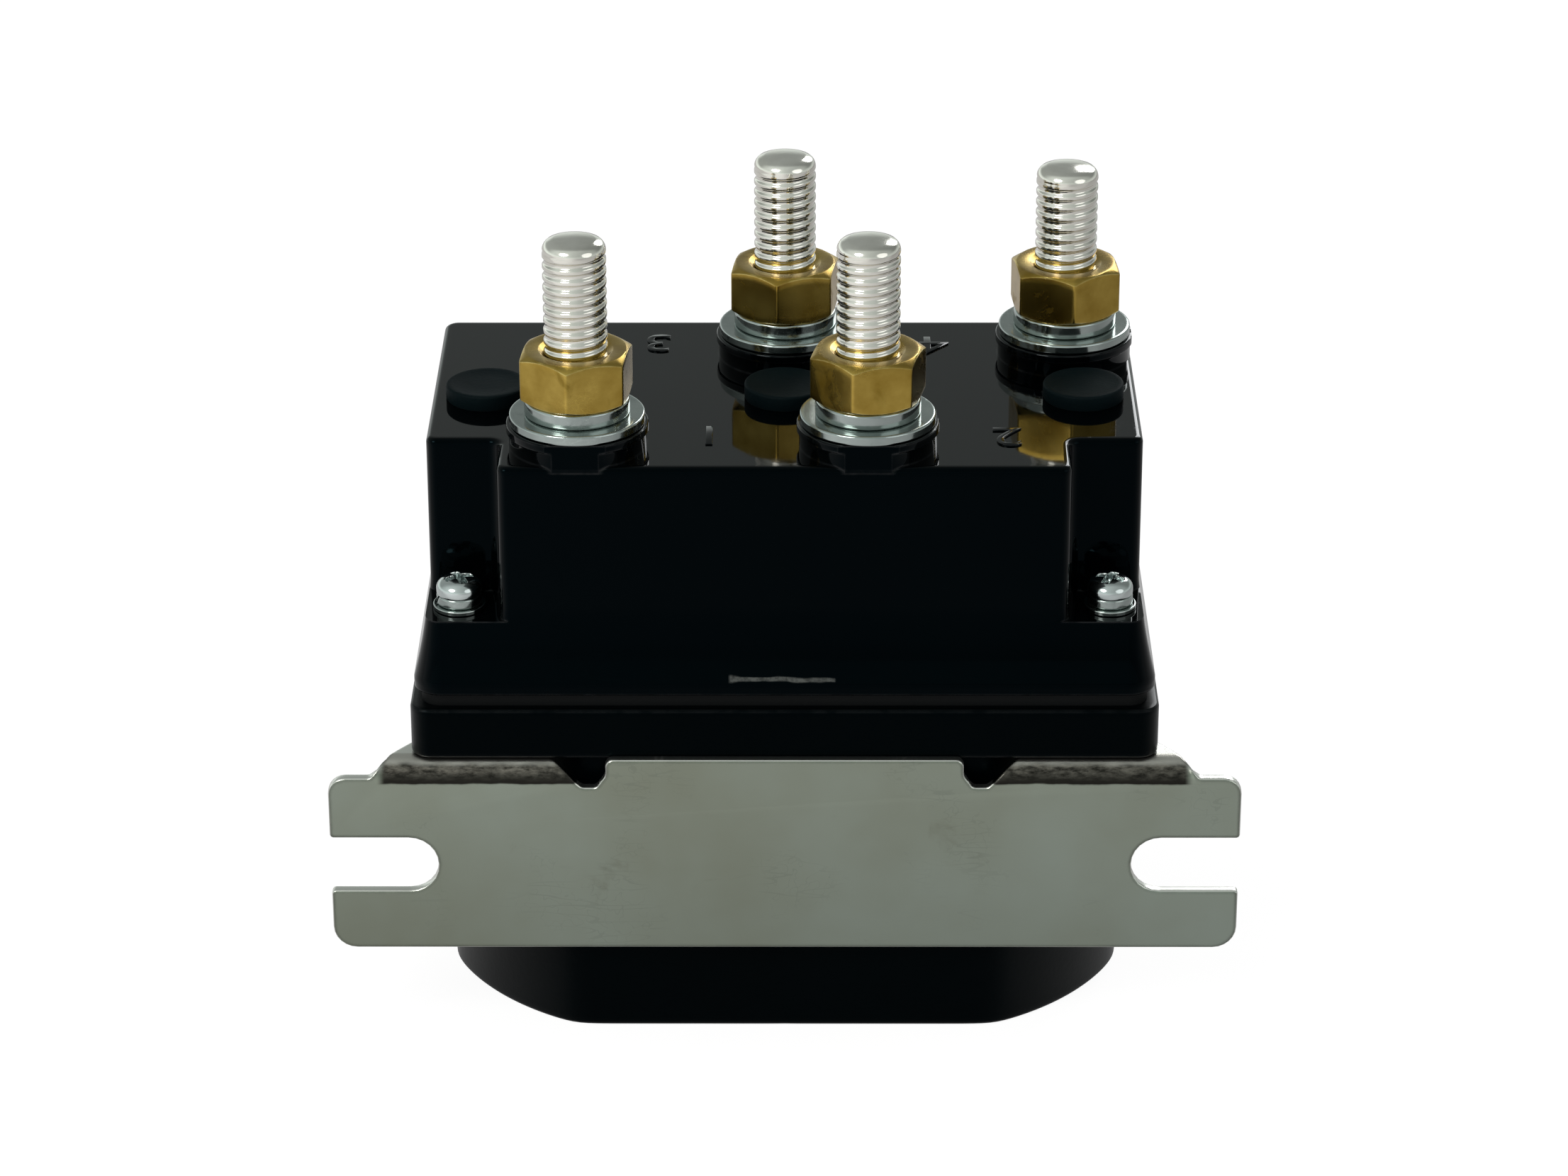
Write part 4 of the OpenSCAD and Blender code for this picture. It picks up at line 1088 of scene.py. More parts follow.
@dataclass
class Bracket:
    """Zinc-plated plate with open slots, a raised tongue, and two tabs folded back under the flange."""

    half_w: float = 57.7
    foot: float = 13.2
    ear_top: float = 37.4
    ear_r: float = 3.0
    ear_in: float = 52.4
    sheet: float = 1.5
    back: float = -26.7
    bend_r: float = 1.4
    bend_z: float = 36.6
    tongue_w: float = 22.6
    tongue_top: float = 40.0
    tab_in: float = 29.7
    tab_out: float = 50.4
    notch_z: float = 36.1
    tab_end: float = -12.2
    tab_end_x: float = 45.2
    tab_end_in: float = 42.0
    tab_in_y: float = -24.0
    notch_xs: Pair = (25.6, 23.8)
    tongue_foot: float = 37.8
    slot_z: float = 25.2
    slot_half: float = 3.75
    slot_in: float = 44.0
    slot_mouth_r: float = 0.5
    tab_slant: tuple[Pair, ...] = ((49.2, -24.1), (47.0, -21.1))
    gap_xs: tuple[float, ...] = (41.3, 39.4, 37.4, 35.4, 33.4, 31.5)
    gap_centre: Pair = (12.0, 5.6)
    gap_r: float = 34.4
    edge_r: float = 0.34
    blend_w: float = 1.7
    ripple: float = 0.02
    waves: tuple[Point, ...] = ((0.86, 0.0, 1.0), (1.73, 1.3, 0.6), (3.11, 0.4, 0.4))
    sharp: float = 32.0
    bend_lines: int = 13
    cross_lines: Point = (26.0, 53.0, 0.6)

    @property
    def bend_length(self) -> float:
        """Length of the bend's middle line, a quarter turn."""
        return math.pi / 2.0 * (self.bend_r + self.sheet / 2.0)

    def reach(self, y: float) -> float:
        """Height in the flat pattern of a point of a tab that ends up at depth y."""
        return self.bend_z + self.bend_length + y - (self.back + self.bend_r)

    def half_outline(self) -> Array:
        """Corners of the right half of the flat pattern, from the foot's middle round to the tongue.

        The tab's inner side keeps clear of the round lower body: its depth is the gap's centre less the
        height of a circle above it.

        Returns:
            X, height and corner radius of each.
        """
        w, h, z = self.half_w, self.slot_half, self.slot_z
        gap_xs = np.array(self.gap_xs)
        gap_ys = self.gap_centre[1] - np.sqrt(self.gap_r ** 2 - (gap_xs - self.gap_centre[0]) ** 2)
        low = [[w, self.foot, self.ear_r], [w, z - h, self.slot_mouth_r], [self.slot_in, z - h, h - 0.02],
               [self.slot_in, z + h, h - 0.02], [w, z + h, self.slot_mouth_r], [w, self.ear_top, 2.2],
               [self.ear_in, self.ear_top, 1.0], [self.tab_out, self.bend_z + 2.7, 0.9]]
        low += [[x, self.reach(y), 1.6] for x, y in self.tab_slant]
        low += [[self.tab_end_x, self.reach(self.tab_end), 1.0],
                [self.tab_end_in, self.reach(self.tab_end), 0.4]]
        low += [[x, self.reach(y), 1.2] for x, y in zip(gap_xs, gap_ys)]
        high = [[self.tab_in, self.reach(self.tab_in_y), 0.5], [self.tab_in - 0.2, self.bend_z + 3.0, 1.5],
                [self.notch_xs[0], self.notch_z, 0.9], [self.notch_xs[1], self.notch_z, 0.8],
                [self.tongue_w, self.tongue_foot, 1.2], [self.tongue_w, self.tongue_top, 1.0]]
        return np.array(low + high)

    def flat_rows(self) -> Array:
        """The flat sheet, from its back face over the rims to its front face.

        Returns:
            Rows by columns by 3: X, depth in the sheet, and height.
        """
        right = self.half_outline()
        left = right[::-1] * [-1.0, 1.0, 1.0]
        corners = np.concatenate([right, left])
        edge = edge_round(self.edge_r, 4)
        steps = [(self.edge_r + 0.25, 0.0)] + [(inset, drop) for inset, drop in edge[::-1]]
        steps += [(inset, self.sheet - drop) for inset, drop in edge] + [(self.edge_r + 0.25, self.sheet)]
        return np.stack([np.insert(rounded_outline(corners, inset, 6), 1, depth, axis=1)
                         for inset, depth in steps])

    def fold(self, flat: Array) -> Array:
        """Bends the flat pattern.

        Above bend_z and outside the tongue, a point turns about the bend's axis by its share of the
        bend's length, and past the bend it runs straight back. Below, and on the ears, it stays upright,
        with a smooth change from the one to the other beside each ear. A ripple, a sum of sine waves
        along X, dents the outside of the bend a little.

        Args:
            flat: Points by 3, as flat_rows gives them.

        Returns:
            Points by 3.
        """
        x, depth, up = flat[:, 0], flat[:, 1], flat[:, 2]
        folded = np.where(np.abs(x) > self.tongue_w + 0.5, np.maximum(up - self.bend_z, 0.0), 0.0)
        angle = np.minimum(folded / self.bend_length, 1.0) * math.pi / 2.0
        past = np.maximum(folded - self.bend_length, 0.0)
        arm = self.bend_r + depth
        waves = sum(weight * np.sin(x * number + phase) for number, phase, weight in self.waves)
        ripple = -self.ripple * np.sin(2.0 * angle) * (2.0 + waves)
        y = self.back + self.bend_r - (arm + ripple) * np.cos(angle) + past
        z = np.where(folded > 0.0, self.bend_z + (arm + ripple) * np.sin(angle), up)
        bent = smooth((self.ear_in - 0.1 - np.abs(x)) / self.blend_w)
        upright = self.back - depth
        return np.column_stack([x, upright + bent * (y - upright), up + bent * (z - up)])

    def lined(self, mesh: bpy.types.Mesh) -> None:
        """Crosses the bends of the flat sheet with fine lines, along them and then over them.

        Args:
            mesh: The flat sheet, which is changed.
        """
        sheet = bmesh.new()
        sheet.from_mesh(mesh)
        bend_top = self.bend_z + self.bend_length
        for height in np.linspace(self.bend_z, bend_top, self.bend_lines):
            parts = sheet.verts[:] + sheet.edges[:] + sheet.faces[:]
            bmesh.ops.bisect_plane(sheet, geom=parts, plane_co=(0.0, 0.0, height * MM),
                                   plane_no=(0.0, 0.0, 1.0), dist=CUT_DISTANCE)
        lines = np.arange(*self.cross_lines)
        for across in np.concatenate([lines, -lines]):
            faces = [f for f in sheet.faces
                     if self.bend_z - 0.01 < f.calc_center_median().z / MM < bend_top]
            edges = list({e for f in faces for e in f.edges})
            verts = list({v for f in faces for v in f.verts})
            bmesh.ops.bisect_plane(sheet, geom=verts + edges + faces, plane_co=(across * MM, 0.0, 0.0),
                                   plane_no=(1.0, 0.0, 0.0), dist=CUT_DISTANCE)
        sheet.to_mesh(mesh)
        sheet.free()

    def build(self, bench: Bench) -> None:
        """Cuts the flat sheet, lines its bends, and folds it.

        Args:
            bench: Where it is made.
        """
        shell = Shell("zinc_bracket")
        shell.grid(self.flat_rows())
        mesh = shell.mesh()
        self.lined(mesh)
        flat = np.empty(len(mesh.vertices) * 3)
        mesh.vertices.foreach_get("co", flat)
        folded = self.fold(flat.reshape(-1, 3) / MM) * MM
        mesh.vertices.foreach_set("co", folded.ravel())
        finish_mesh(mesh, self.sharp)
        bench.place(mesh, Finishes.BRACKET, "mounting_bracket")


@dataclass
class Terminals:
    """Four threaded studs with chamfered nuts, split spring washers and flat washers."""

    xs: tuple[float, ...] = (-25.8, 10.4, 0.0, 36.2)
    ys: tuple[float, ...] = (-16.5, -16.5, 13.5, 13.5)
    tips: tuple[float, ...] = (105.8, 105.8, 105.8, 104.4)
    nut_turns: tuple[float, ...] = (-7.4, -15.0, -8.3, 6.8)
    splits: tuple[float, ...] = (75.0, 100.0, 55.0, 120.0)
    stud_r: float = 3.97
    pitch: float = 1.41
    thread: float = 0.27
    thread_z: float = 76.0
    crest: float = 0.12
    flank: float = 0.82
    plain_tip: float = 1.0
    run_out: float = 1.6
    head_z: float = 70.1
    head_r: float = 6.0
    head_half: float = 4.7
    shank_z: float = 73.1
    crown_h: float = 1.6
    crown_r: float = 2.7
    dome_h: float = 0.22
    dome_shares: tuple[float, ...] = (0.95, 0.85, 0.7, 0.5, 0.3, 0.1)
    rows_per_turn: float = 13.0
    columns: int = 72
    stud_sharp: float = 34.0
    nut_z: float = 84.8
    nut_h: float = 6.4
    nut_af: float = 13.0
    nut_corner_r: float = 0.45
    nut_land: float = 0.12
    nut_bore_r: float = 3.5
    nut_foot_r: float = 4.1
    nut_foot_h: float = 0.5
    nut_sink_rs: Pair = (4.6, 3.95)
    nut_sink_h: float = 0.6
    nut_side: tuple[Pair, ...] = ((0.03, 0.06), (0.0, 0.2), (0.0, 0.9))
    nut_shares: tuple[float, ...] = (0.03, 0.15, 0.32, 0.5, 0.68, 0.85, 0.97)
    nut_sharp: float = 30.0
    spring_z: float = 82.8
    spring_r: float = 6.6
    washer_z: float = 81.5
    washer_r: float = 8.5
    bore_r: float = 4.15

    def centres(self) -> list[Pair]:
        """Centres of the studs."""
        return list(zip(self.xs, self.ys))

    def stud(self, i: int) -> Array:
        """A stud: flat-sided head, shank, right-hand thread, rounded crown.

        The thread's radius is the stud's less its depth times a raised cosine of z over the pitch less
        the turn, flattened at the crest, and it fades towards the crown, which is a quarter ellipse
        and, inside it, a shallow dome that falls with the square of the radius.

        Args:
            i: Which stud.

        Returns:
            Rows by columns by 3.
        """
        tip = self.tips[i]
        theta = np.arange(self.columns) * TAU / self.columns
        z = np.concatenate([[self.head_z, self.head_z + 0.01, self.shank_z],
                            np.arange(self.shank_z + 0.02, tip - self.crown_h,
                                      self.pitch / self.rows_per_turn),
                            tip - self.dome_h - (self.crown_h - self.dome_h)
                            * np.cos(np.linspace(0.0, math.pi / 2.0, 11)[1:])])
        z = z[:, None]
        phase = z / self.pitch - theta / TAU
        groove = smooth((0.5 - 0.5 * np.cos(TAU * phase) - self.crest) / self.flank)
        fade = smooth((tip - self.plain_tip - z) / self.run_out) * smooth(z - self.thread_z)
        radius = self.stud_r - self.thread * groove * fade
        rise = np.clip((z - tip + self.crown_h) / (self.crown_h - self.dome_h), 0.0, 1.0)
        limit = self.crown_r + (self.stud_r - self.crown_r) * np.sqrt(1.0 - rise ** 2)
        radius = np.where(rise > 0.0, np.minimum(radius, limit), radius)
        radius[:3] = self.head_r
        rows = np.stack([radius * np.cos(theta), radius * np.sin(theta), z + 0.0 * radius], -1)
        rows[:3, :, 1] = np.clip(rows[:3, :, 1], -self.head_half, self.head_half)
        reach = self.crown_r * np.array(self.dome_shares)
        dome = np.column_stack([reach, tip - self.dome_h * (reach / self.crown_r) ** 2])
        rows = np.concatenate([rows, revolve(dome, (0.0, 0.0), self.columns)])
        rows[:, :, :2] += [self.xs[i], self.ys[i]]
        return rows

    def nut(self, i: int) -> Array:
        """A nut, from its bore's foot out, up the sides, over the chamfer and into the bore.

        The sides follow a hexagon with slightly round corners. Both faces end in a cone that starts at
        the flats' distance, so its edge on each side dips by the hexagon's radius less that distance
        times the tangent of 30 degrees. Past that edge a side's rows lie as nut_side says, which gives
        how far each is set in and how far past the edge it is, and both ends of the nut use the same.

        Args:
            i: Which nut.

        Returns:
            Rows by columns by 3, a closed ring of rows.
        """
        corner = self.nut_af / math.sqrt(3.0)
        angle = np.arange(6) * TAU / 6.0
        hexagon = np.column_stack([corner * np.cos(angle), corner * np.sin(angle),
                                   np.full(6, self.nut_corner_r)])
        outline = rounded_outline(hexagon, 0.0, 6, self.nut_shares)
        radius = np.linalg.norm(outline, axis=1)
        unit = outline / radius[:, None]
        flat_r, bore_r = self.nut_af / 2.0 - self.nut_land, self.nut_bore_r
        dip = np.maximum(radius - flat_r, 0.0) * math.tan(math.radians(30.0))
        low, high = self.nut_z, self.nut_z + self.nut_h
        ring = np.ones_like(radius)
        side = [(radius - 0.14, dip * 0.9)] + [(radius - inset, dip + up) for inset, up in self.nut_side]
        sink_r, sink_low_r = self.nut_sink_rs
        rows = [(ring * bore_r, low + self.nut_foot_h + 0.1), (ring * bore_r, low + self.nut_foot_h),
                (ring * self.nut_foot_r, low), (ring * flat_r * 0.97, low), (ring * flat_r, low)]
        rows += [(r, low + up) for r, up in side]
        rows += [(r, high - up) for r, up in side[::-1]]
        rows += [(ring * flat_r, high - 0.03), (ring * (flat_r - 0.12), high), (ring * flat_r * 0.93, high),
                 (ring * (sink_r + 0.15), high), (ring * sink_r, high - 0.05),
                 (ring * sink_low_r, high - self.nut_sink_h), (ring * bore_r, high - self.nut_sink_h - 0.15),
                 (ring * bore_r, high - 2.0 * self.nut_sink_h)]
        grid = np.stack([np.column_stack([unit * r[:, None], z * ring]) for r, z in rows])
        turn = math.radians(self.nut_turns[i] - 90.0)
        spin = np.array([[math.cos(turn), math.sin(turn)], [-math.sin(turn), math.cos(turn)]])
        grid[:, :, :2] = grid[:, :, :2] @ spin + [self.xs[i], self.ys[i]]
        return grid

    def build(self, bench: Bench) -> None:
        """Makes the studs, the nuts, and one piece for each kind of washer.

        Args:
            bench: Where they are made.
        """
        spring, flat = Shell("split_spring_washers"), Shell("flat_washers")
        for i, centre in enumerate(self.centres()):
            stud = Shell(f"threaded_stud_{i + 1}")
            stud.grid(self.stud(i))
            bench.place(stud.mesh(self.stud_sharp), Finishes.STUD, f"terminal_stud_{i + 1}")
            nut = Shell(f"chamfered_nut_{i + 1}")
            nut.grid(self.nut(i), caps=False, ring=True)
            bench.place(nut.mesh(self.nut_sharp), Finishes.NUT, f"terminal_nut_{i + 1}")
            spring.grid(split_ring(centre, self.spring_z, self.nut_z - self.spring_z, self.spring_r,
                                   self.bore_r, self.splits[i]), ring=True, closed=False)
            flat.grid(plain_ring(centre, self.washer_z, self.spring_z - self.washer_z, self.washer_r,
                                 self.bore_r), ring=True)
        bench.place(spring.mesh(WASHER_SHARP), Finishes.WASHER, "terminal_spring_washers")
        bench.place(flat.mesh(WASHER_SHARP), Finishes.WASHER, "terminal_flat_washers")


def ring_profile(z: float, thick: float, r_out: float, r_in: float, limits: Pair) -> Array:
    """Cross-section of a washer on radius and height: a rectangle with round corners.

    Args:
        z: Height of its foot.
        thick: Its thickness.
        r_out: Its outer radius.
        r_in: Its bore's radius.
        limits: The corners' greatest radius, and their greatest share of the thickness.

    Returns:
        Points by 2.
    """
    edge = min(limits[0], thick * limits[1])
    corners = np.array([[r_in, z, edge], [r_out, z, edge],
                        [r_out, z + thick, edge], [r_in, z + thick, edge]])
    return rounded_outline(corners, 0.0, 4, (0.06, 0.5, 0.94))


def plain_ring(centre: Pair, z: float, thick: float, r_out: float, r_in: float) -> Array:
    """Rows of a flat washer: its cross-section turned about its axis."""
    return revolve(ring_profile(z, thick, r_out, r_in, FLAT_EDGE), centre, WASHER_COLUMNS)


def split_ring(centre: Pair, z: float, thick: float, r_out: float, r_in: float,
               split: float) -> Array:
    """A split spring washer: its cross-section turned through less than a full turn.

    The slit leans with height, and the ends stand a little up and down from the middle. Its width and
    the ends' rise are shares of the thickness.

    Args:
        centre: X and Y of its axis.
        z: Height of its foot.
        thick: Its thickness.
        r_out: Its outer radius.
        r_in: Its bore's radius.
        split: Where the slit lies, in degrees.

    Returns:
        Rows by columns by 3, a closed ring of rows with open columns.
    """
    profile = ring_profile(z, thick, r_out, r_in, SPLIT_EDGE)
    share = np.linspace(0.0, 1.0, SPLIT_COLUMNS)[None, :]
    lean = (profile[:, 1:] - z - thick / 2.0) / r_out * SLIT_LEAN
    gap = SLIT_WIDTH * thick / r_out
    angle = math.radians(split) + gap / 2.0 + share * (TAU - gap) + lean
    radius = profile[:, :1] + 0.0 * share
    height = profile[:, 1:] + SLIT_RISE * thick * (0.5 - share)
    height = np.clip(height, z, z + thick)
    return np.stack([centre[0] + radius * np.cos(angle), centre[1] + radius * np.sin(angle), height], -1)


@dataclass
class Plugs:
    """Three rubber plugs over the case screws, each seated slightly out of level."""

    names: tuple[str, ...] = ("left", "centre", "right")
    xs: tuple[float, ...] = (-38.0, 0.0, 38.0)
    y: float = -1.5
    seat: float = 78.5
    height: float = 2.1
    radius: float = 5.15
    edge_r: float = 0.32
    dish: float = 0.24
    dish_r: float = 2.0
    rim_w: float = 0.75
    slope_w: float = 1.1
    stem_r: float = 4.5
    stem_h: float = 4.0
    sharp: float = 32.0
    leans: tuple[Pair, ...] = ((0.012, -0.01), (-0.008, 0.012), (0.016, 0.006))

    def rows(self, i: int) -> Array:
        """A plug: stem, rim with a round edge, and a shallow dish in its face.

        Above its seat, each point's height changes by the plug's lean times its distance from the axis.

        Args:
            i: Which plug.

        Returns:
            Rows by columns by 3.
        """
        top = self.seat + self.height
        profile = [(self.stem_r, self.seat - self.stem_h), (self.stem_r, self.seat - 0.1),
                   (self.radius - 0.1, self.seat + 0.02), (self.radius, self.seat + 0.2)]
        profile += [(self.radius - inset, top - 0.1 - drop) for inset, drop in edge_round(self.edge_r, 5)]
        profile += [(self.radius - self.rim_w, top - 0.11), (self.radius - self.slope_w, top - 0.2),
                    (self.dish_r, top - self.dish), (self.dish_r / 5.0, top - self.dish)]
        rows = revolve(np.array(profile), (self.xs[i], self.y), 96)
        away_x, away_y = rows[:, :, 0] - self.xs[i], rows[:, :, 1] - self.y
        free = smooth(rows[:, :, 2] - self.seat)
        rows[:, :, 2] += free * (away_x * self.leans[i][0] + away_y * self.leans[i][1])
        return rows

    def build(self, bench: Bench) -> None:
        """Makes the three plugs.

        Args:
            bench: Where they are made.
        """
        for i, name in enumerate(self.names):
            plug = Shell(f"rubber_plug_{name}")
            plug.grid(self.rows(i))
            bench.place(plug.mesh(self.sharp), Finishes.PLUG, f"screw_plug_{name}")


@dataclass
class PocketScrews:
    """Cross-recess pan-head screws in the corner pockets, each on a spring washer and a flat washer."""

    x: float = 40.9
    y: float = -20.2
    floor: float = 57.7
    flat_t: float = 0.65
    flat_r: float = 3.3
    spring_t: float = 1.35
    spring_r: float = 2.85
    bore_r: float = 1.58
    split: float = 200.0
    head_r: float = 2.85
    head_h: float = 2.2
    wall_h: float = 0.75
    shank_r: float = 1.5
    shank_z: float = 36.8
    recess_half: float = 0.46
    recess_reach: float = 1.75
    recess_deep: float = 1.2
    recess_soft: float = 0.07
    recess_end: Pair = (0.1, 0.3)
    dome_powers: Pair = (3.0, 0.55)
    turn: float = 45.0
    turn_apart: float = 20.0
    columns: int = 120
    sharp: float = 40.0

    def screw(self, side: int) -> Array:
        """A screw: shank, head's underside and rim, then its dome with a cross sunk in it.

        Above the wall, the dome's share of its height is one less the first power of the radius over
        the head's, all to the second power. The cross takes its depth where either arm's smooth mask is
        full.

        Args:
            side: -1 for the left one, 1 for the right one.

        Returns:
            Rows by columns by 3.
        """
        seat = self.floor + self.flat_t + self.spring_t
        top = seat + self.head_h
        turn = math.radians(self.turn + self.turn_apart * side)
        theta = np.arange(self.columns) * TAU / self.columns
        wall = np.array([[self.shank_r - 0.3, self.shank_z], [self.shank_r, self.shank_z + 0.4],
                         [self.shank_r, seat], [self.head_r - 0.2, seat], [self.head_r - 0.05, seat + 0.06],
                         [self.head_r, seat + 0.2], [self.head_r, seat + self.wall_h]])
        reach = np.concatenate([self.head_r * np.sin(np.linspace(1.5, 1.0, 9)),
                                np.linspace(2.3, 0.06, 40)])[:, None]
        inner, outer = self.dome_powers
        share = (1.0 - (reach / self.head_r) ** inner) ** outer
        dome = top - (self.head_h - self.wall_h) * (1.0 - share)
        u, v = reach * np.cos(theta - turn), reach * np.sin(theta - turn)
        mask = np.zeros_like(u)
        end_start, end_w = self.recess_end
        for a, b in ((u, v), (v, u)):
            across = smooth((self.recess_half + self.recess_soft - np.abs(a)) / (2.0 * self.recess_soft))
            along = smooth((self.recess_reach + end_start - np.abs(b)) / end_w)
            mask = np.maximum(mask, across * along)
        height = dome - self.recess_deep * mask
        head = np.stack([reach * np.cos(theta), reach * np.sin(theta), height], -1)
        rows = np.concatenate([revolve(wall, (0.0, 0.0), self.columns), head])
        rows[:, :, :2] += [side * self.x, self.y]
        return rows

    def build(self, bench: Bench) -> None:
        """Makes both screws, and one piece for each kind of small washer.

        Args:
            bench: Where they are made.
        """
        spring, flat = Shell("small_spring_washers"), Shell("small_flat_washers")
        for side, name in zip((-1, 1), SIDES):
            screw = Shell(f"pocket_screw_{name}")
            screw.grid(self.screw(side))
            bench.place(screw.mesh(self.sharp), Finishes.SCREW, f"bracket_screw_{name}")
            centre = (side * self.x, self.y)
            flat.grid(plain_ring(centre, self.floor, self.flat_t, self.flat_r, self.bore_r), ring=True)
            spring.grid(split_ring(centre, self.floor + self.flat_t, self.spring_t, self.spring_r,
                                   self.bore_r, self.split), ring=True, closed=False)
        bench.place(spring.mesh(WASHER_SHARP), Finishes.WASHER, "bracket_spring_washers")
        bench.place(flat.mesh(WASHER_SHARP), Finishes.WASHER, "bracket_flat_washers")


@dataclass
class Springs:
    """The hidden springs: copies of the CAD's coils."""

    return_foot: float = 34.3
    return_h: float = 8.0
    pull: float = 3.8
    contact_top: float = 70.5
    contact_h: float = 6.5
    overtravel: float = 0.83
    sharp: float = 60.0

    def coil(self, bench: Bench, node: bpy.types.Object, body: str, joint: str, anchor: float,
             keep: float) -> None:
        """Copies a CAD spring, merges its triangles, and puts the copy on its body.

        Args:
            bench: Where the copy is made.
            node: The CAD spring.
            body: The body that carries its fixed end.
            joint: The joint that presses it; not used.
            anchor: Height of its fixed end; not used.
            keep: Share of its height that is left at the joint's limit; not used.
        """
        merged = bmesh.new()
        merged.from_mesh(node.data)
        bmesh.ops.remove_doubles(merged, verts=merged.verts, dist=MERGE_DISTANCE)
        mesh = bpy.data.meshes.new(node.name.replace("spring", "coil"))
        merged.to_mesh(mesh)
        merged.free()
        mesh.transform(node.matrix_world)
        finish_mesh(mesh, self.sharp)
        piece = bench.place(mesh, Finishes.SPRING, node.name, body=body)
        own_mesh(piece)

    def build(self, bench: Bench, nodes: dict[str, bpy.types.Object]) -> None:
        """Makes the two return springs and the two contact springs.

        Args:
            bench: Where they are made.
            nodes: The CAD nodes by name.
        """
        for side in SIDES:
            self.coil(bench, nodes[f"return_spring_{side}"], ROOT, f"plunger_{side}_pull",
                      self.return_foot, 1.0 - self.pull / self.return_h)
            self.coil(bench, nodes[f"contact_spring_{side}"], f"plunger_{side}", f"bridge_{side}_overtravel",
                      self.contact_top, 1.0 - self.overtravel / self.contact_h)


def both(*stems: str) -> tuple[str, ...]:
    """Names of the nodes that these stems have on the left and on the right."""
    return tuple(f"{stem}_{side}" for stem in stems for side in SIDES)


class Insides:
    """CAD nodes that keep their shape: the seals, the blades and most of what the housing holds."""

    plan: dict[Finishes, tuple[str, ...]] = {
        Finishes.SEAL: ("cover_gasket", "stud_seals"),
        Finishes.BLADE: ("coil_terminal_blades",),
        Finishes.BOARD: ("insulating_plate",),
        Finishes.SCREW: ("case_screws", *both("push_rod", "spring_retainer")),
        Finishes.COPPER: (*both("motor_contact"), "negative_busbar", "positive_busbar",
                          *both("contact_bridge")),
        Finishes.SILVER: ("fixed_contact_tips",),
        Finishes.IRON: both("coil_yoke", "yoke_top_plate", "fixed_core", "plunger"),
        Finishes.NYLON: both("coil_bobbin", "insulating_bush"),
        Finishes.WINDING: both("coil_winding"),
    }

    def dress(self, paint: PaintShop, nodes: dict[str, bpy.types.Object]) -> None:
        """Gives each kept node its finish.

        Args:
            paint: Where the materials are built.
            nodes: The CAD nodes by name.
        """
        for finish, names in self.plan.items():
            for name in names:
                for slot in nodes[name].material_slots:
                    slot.material = paint.material(finish)
            LOG.info("%s on %d kept nodes", finish.value.slot, len(names))


# Studio


@dataclass(frozen=True)
class Lamp:
    """A soft round lamp: its place and target in millimetres, its diameter, power and colour."""

    name: str
    place: Point
    target: Point
    width: float
    power: float
    colour: Colour = WHITE


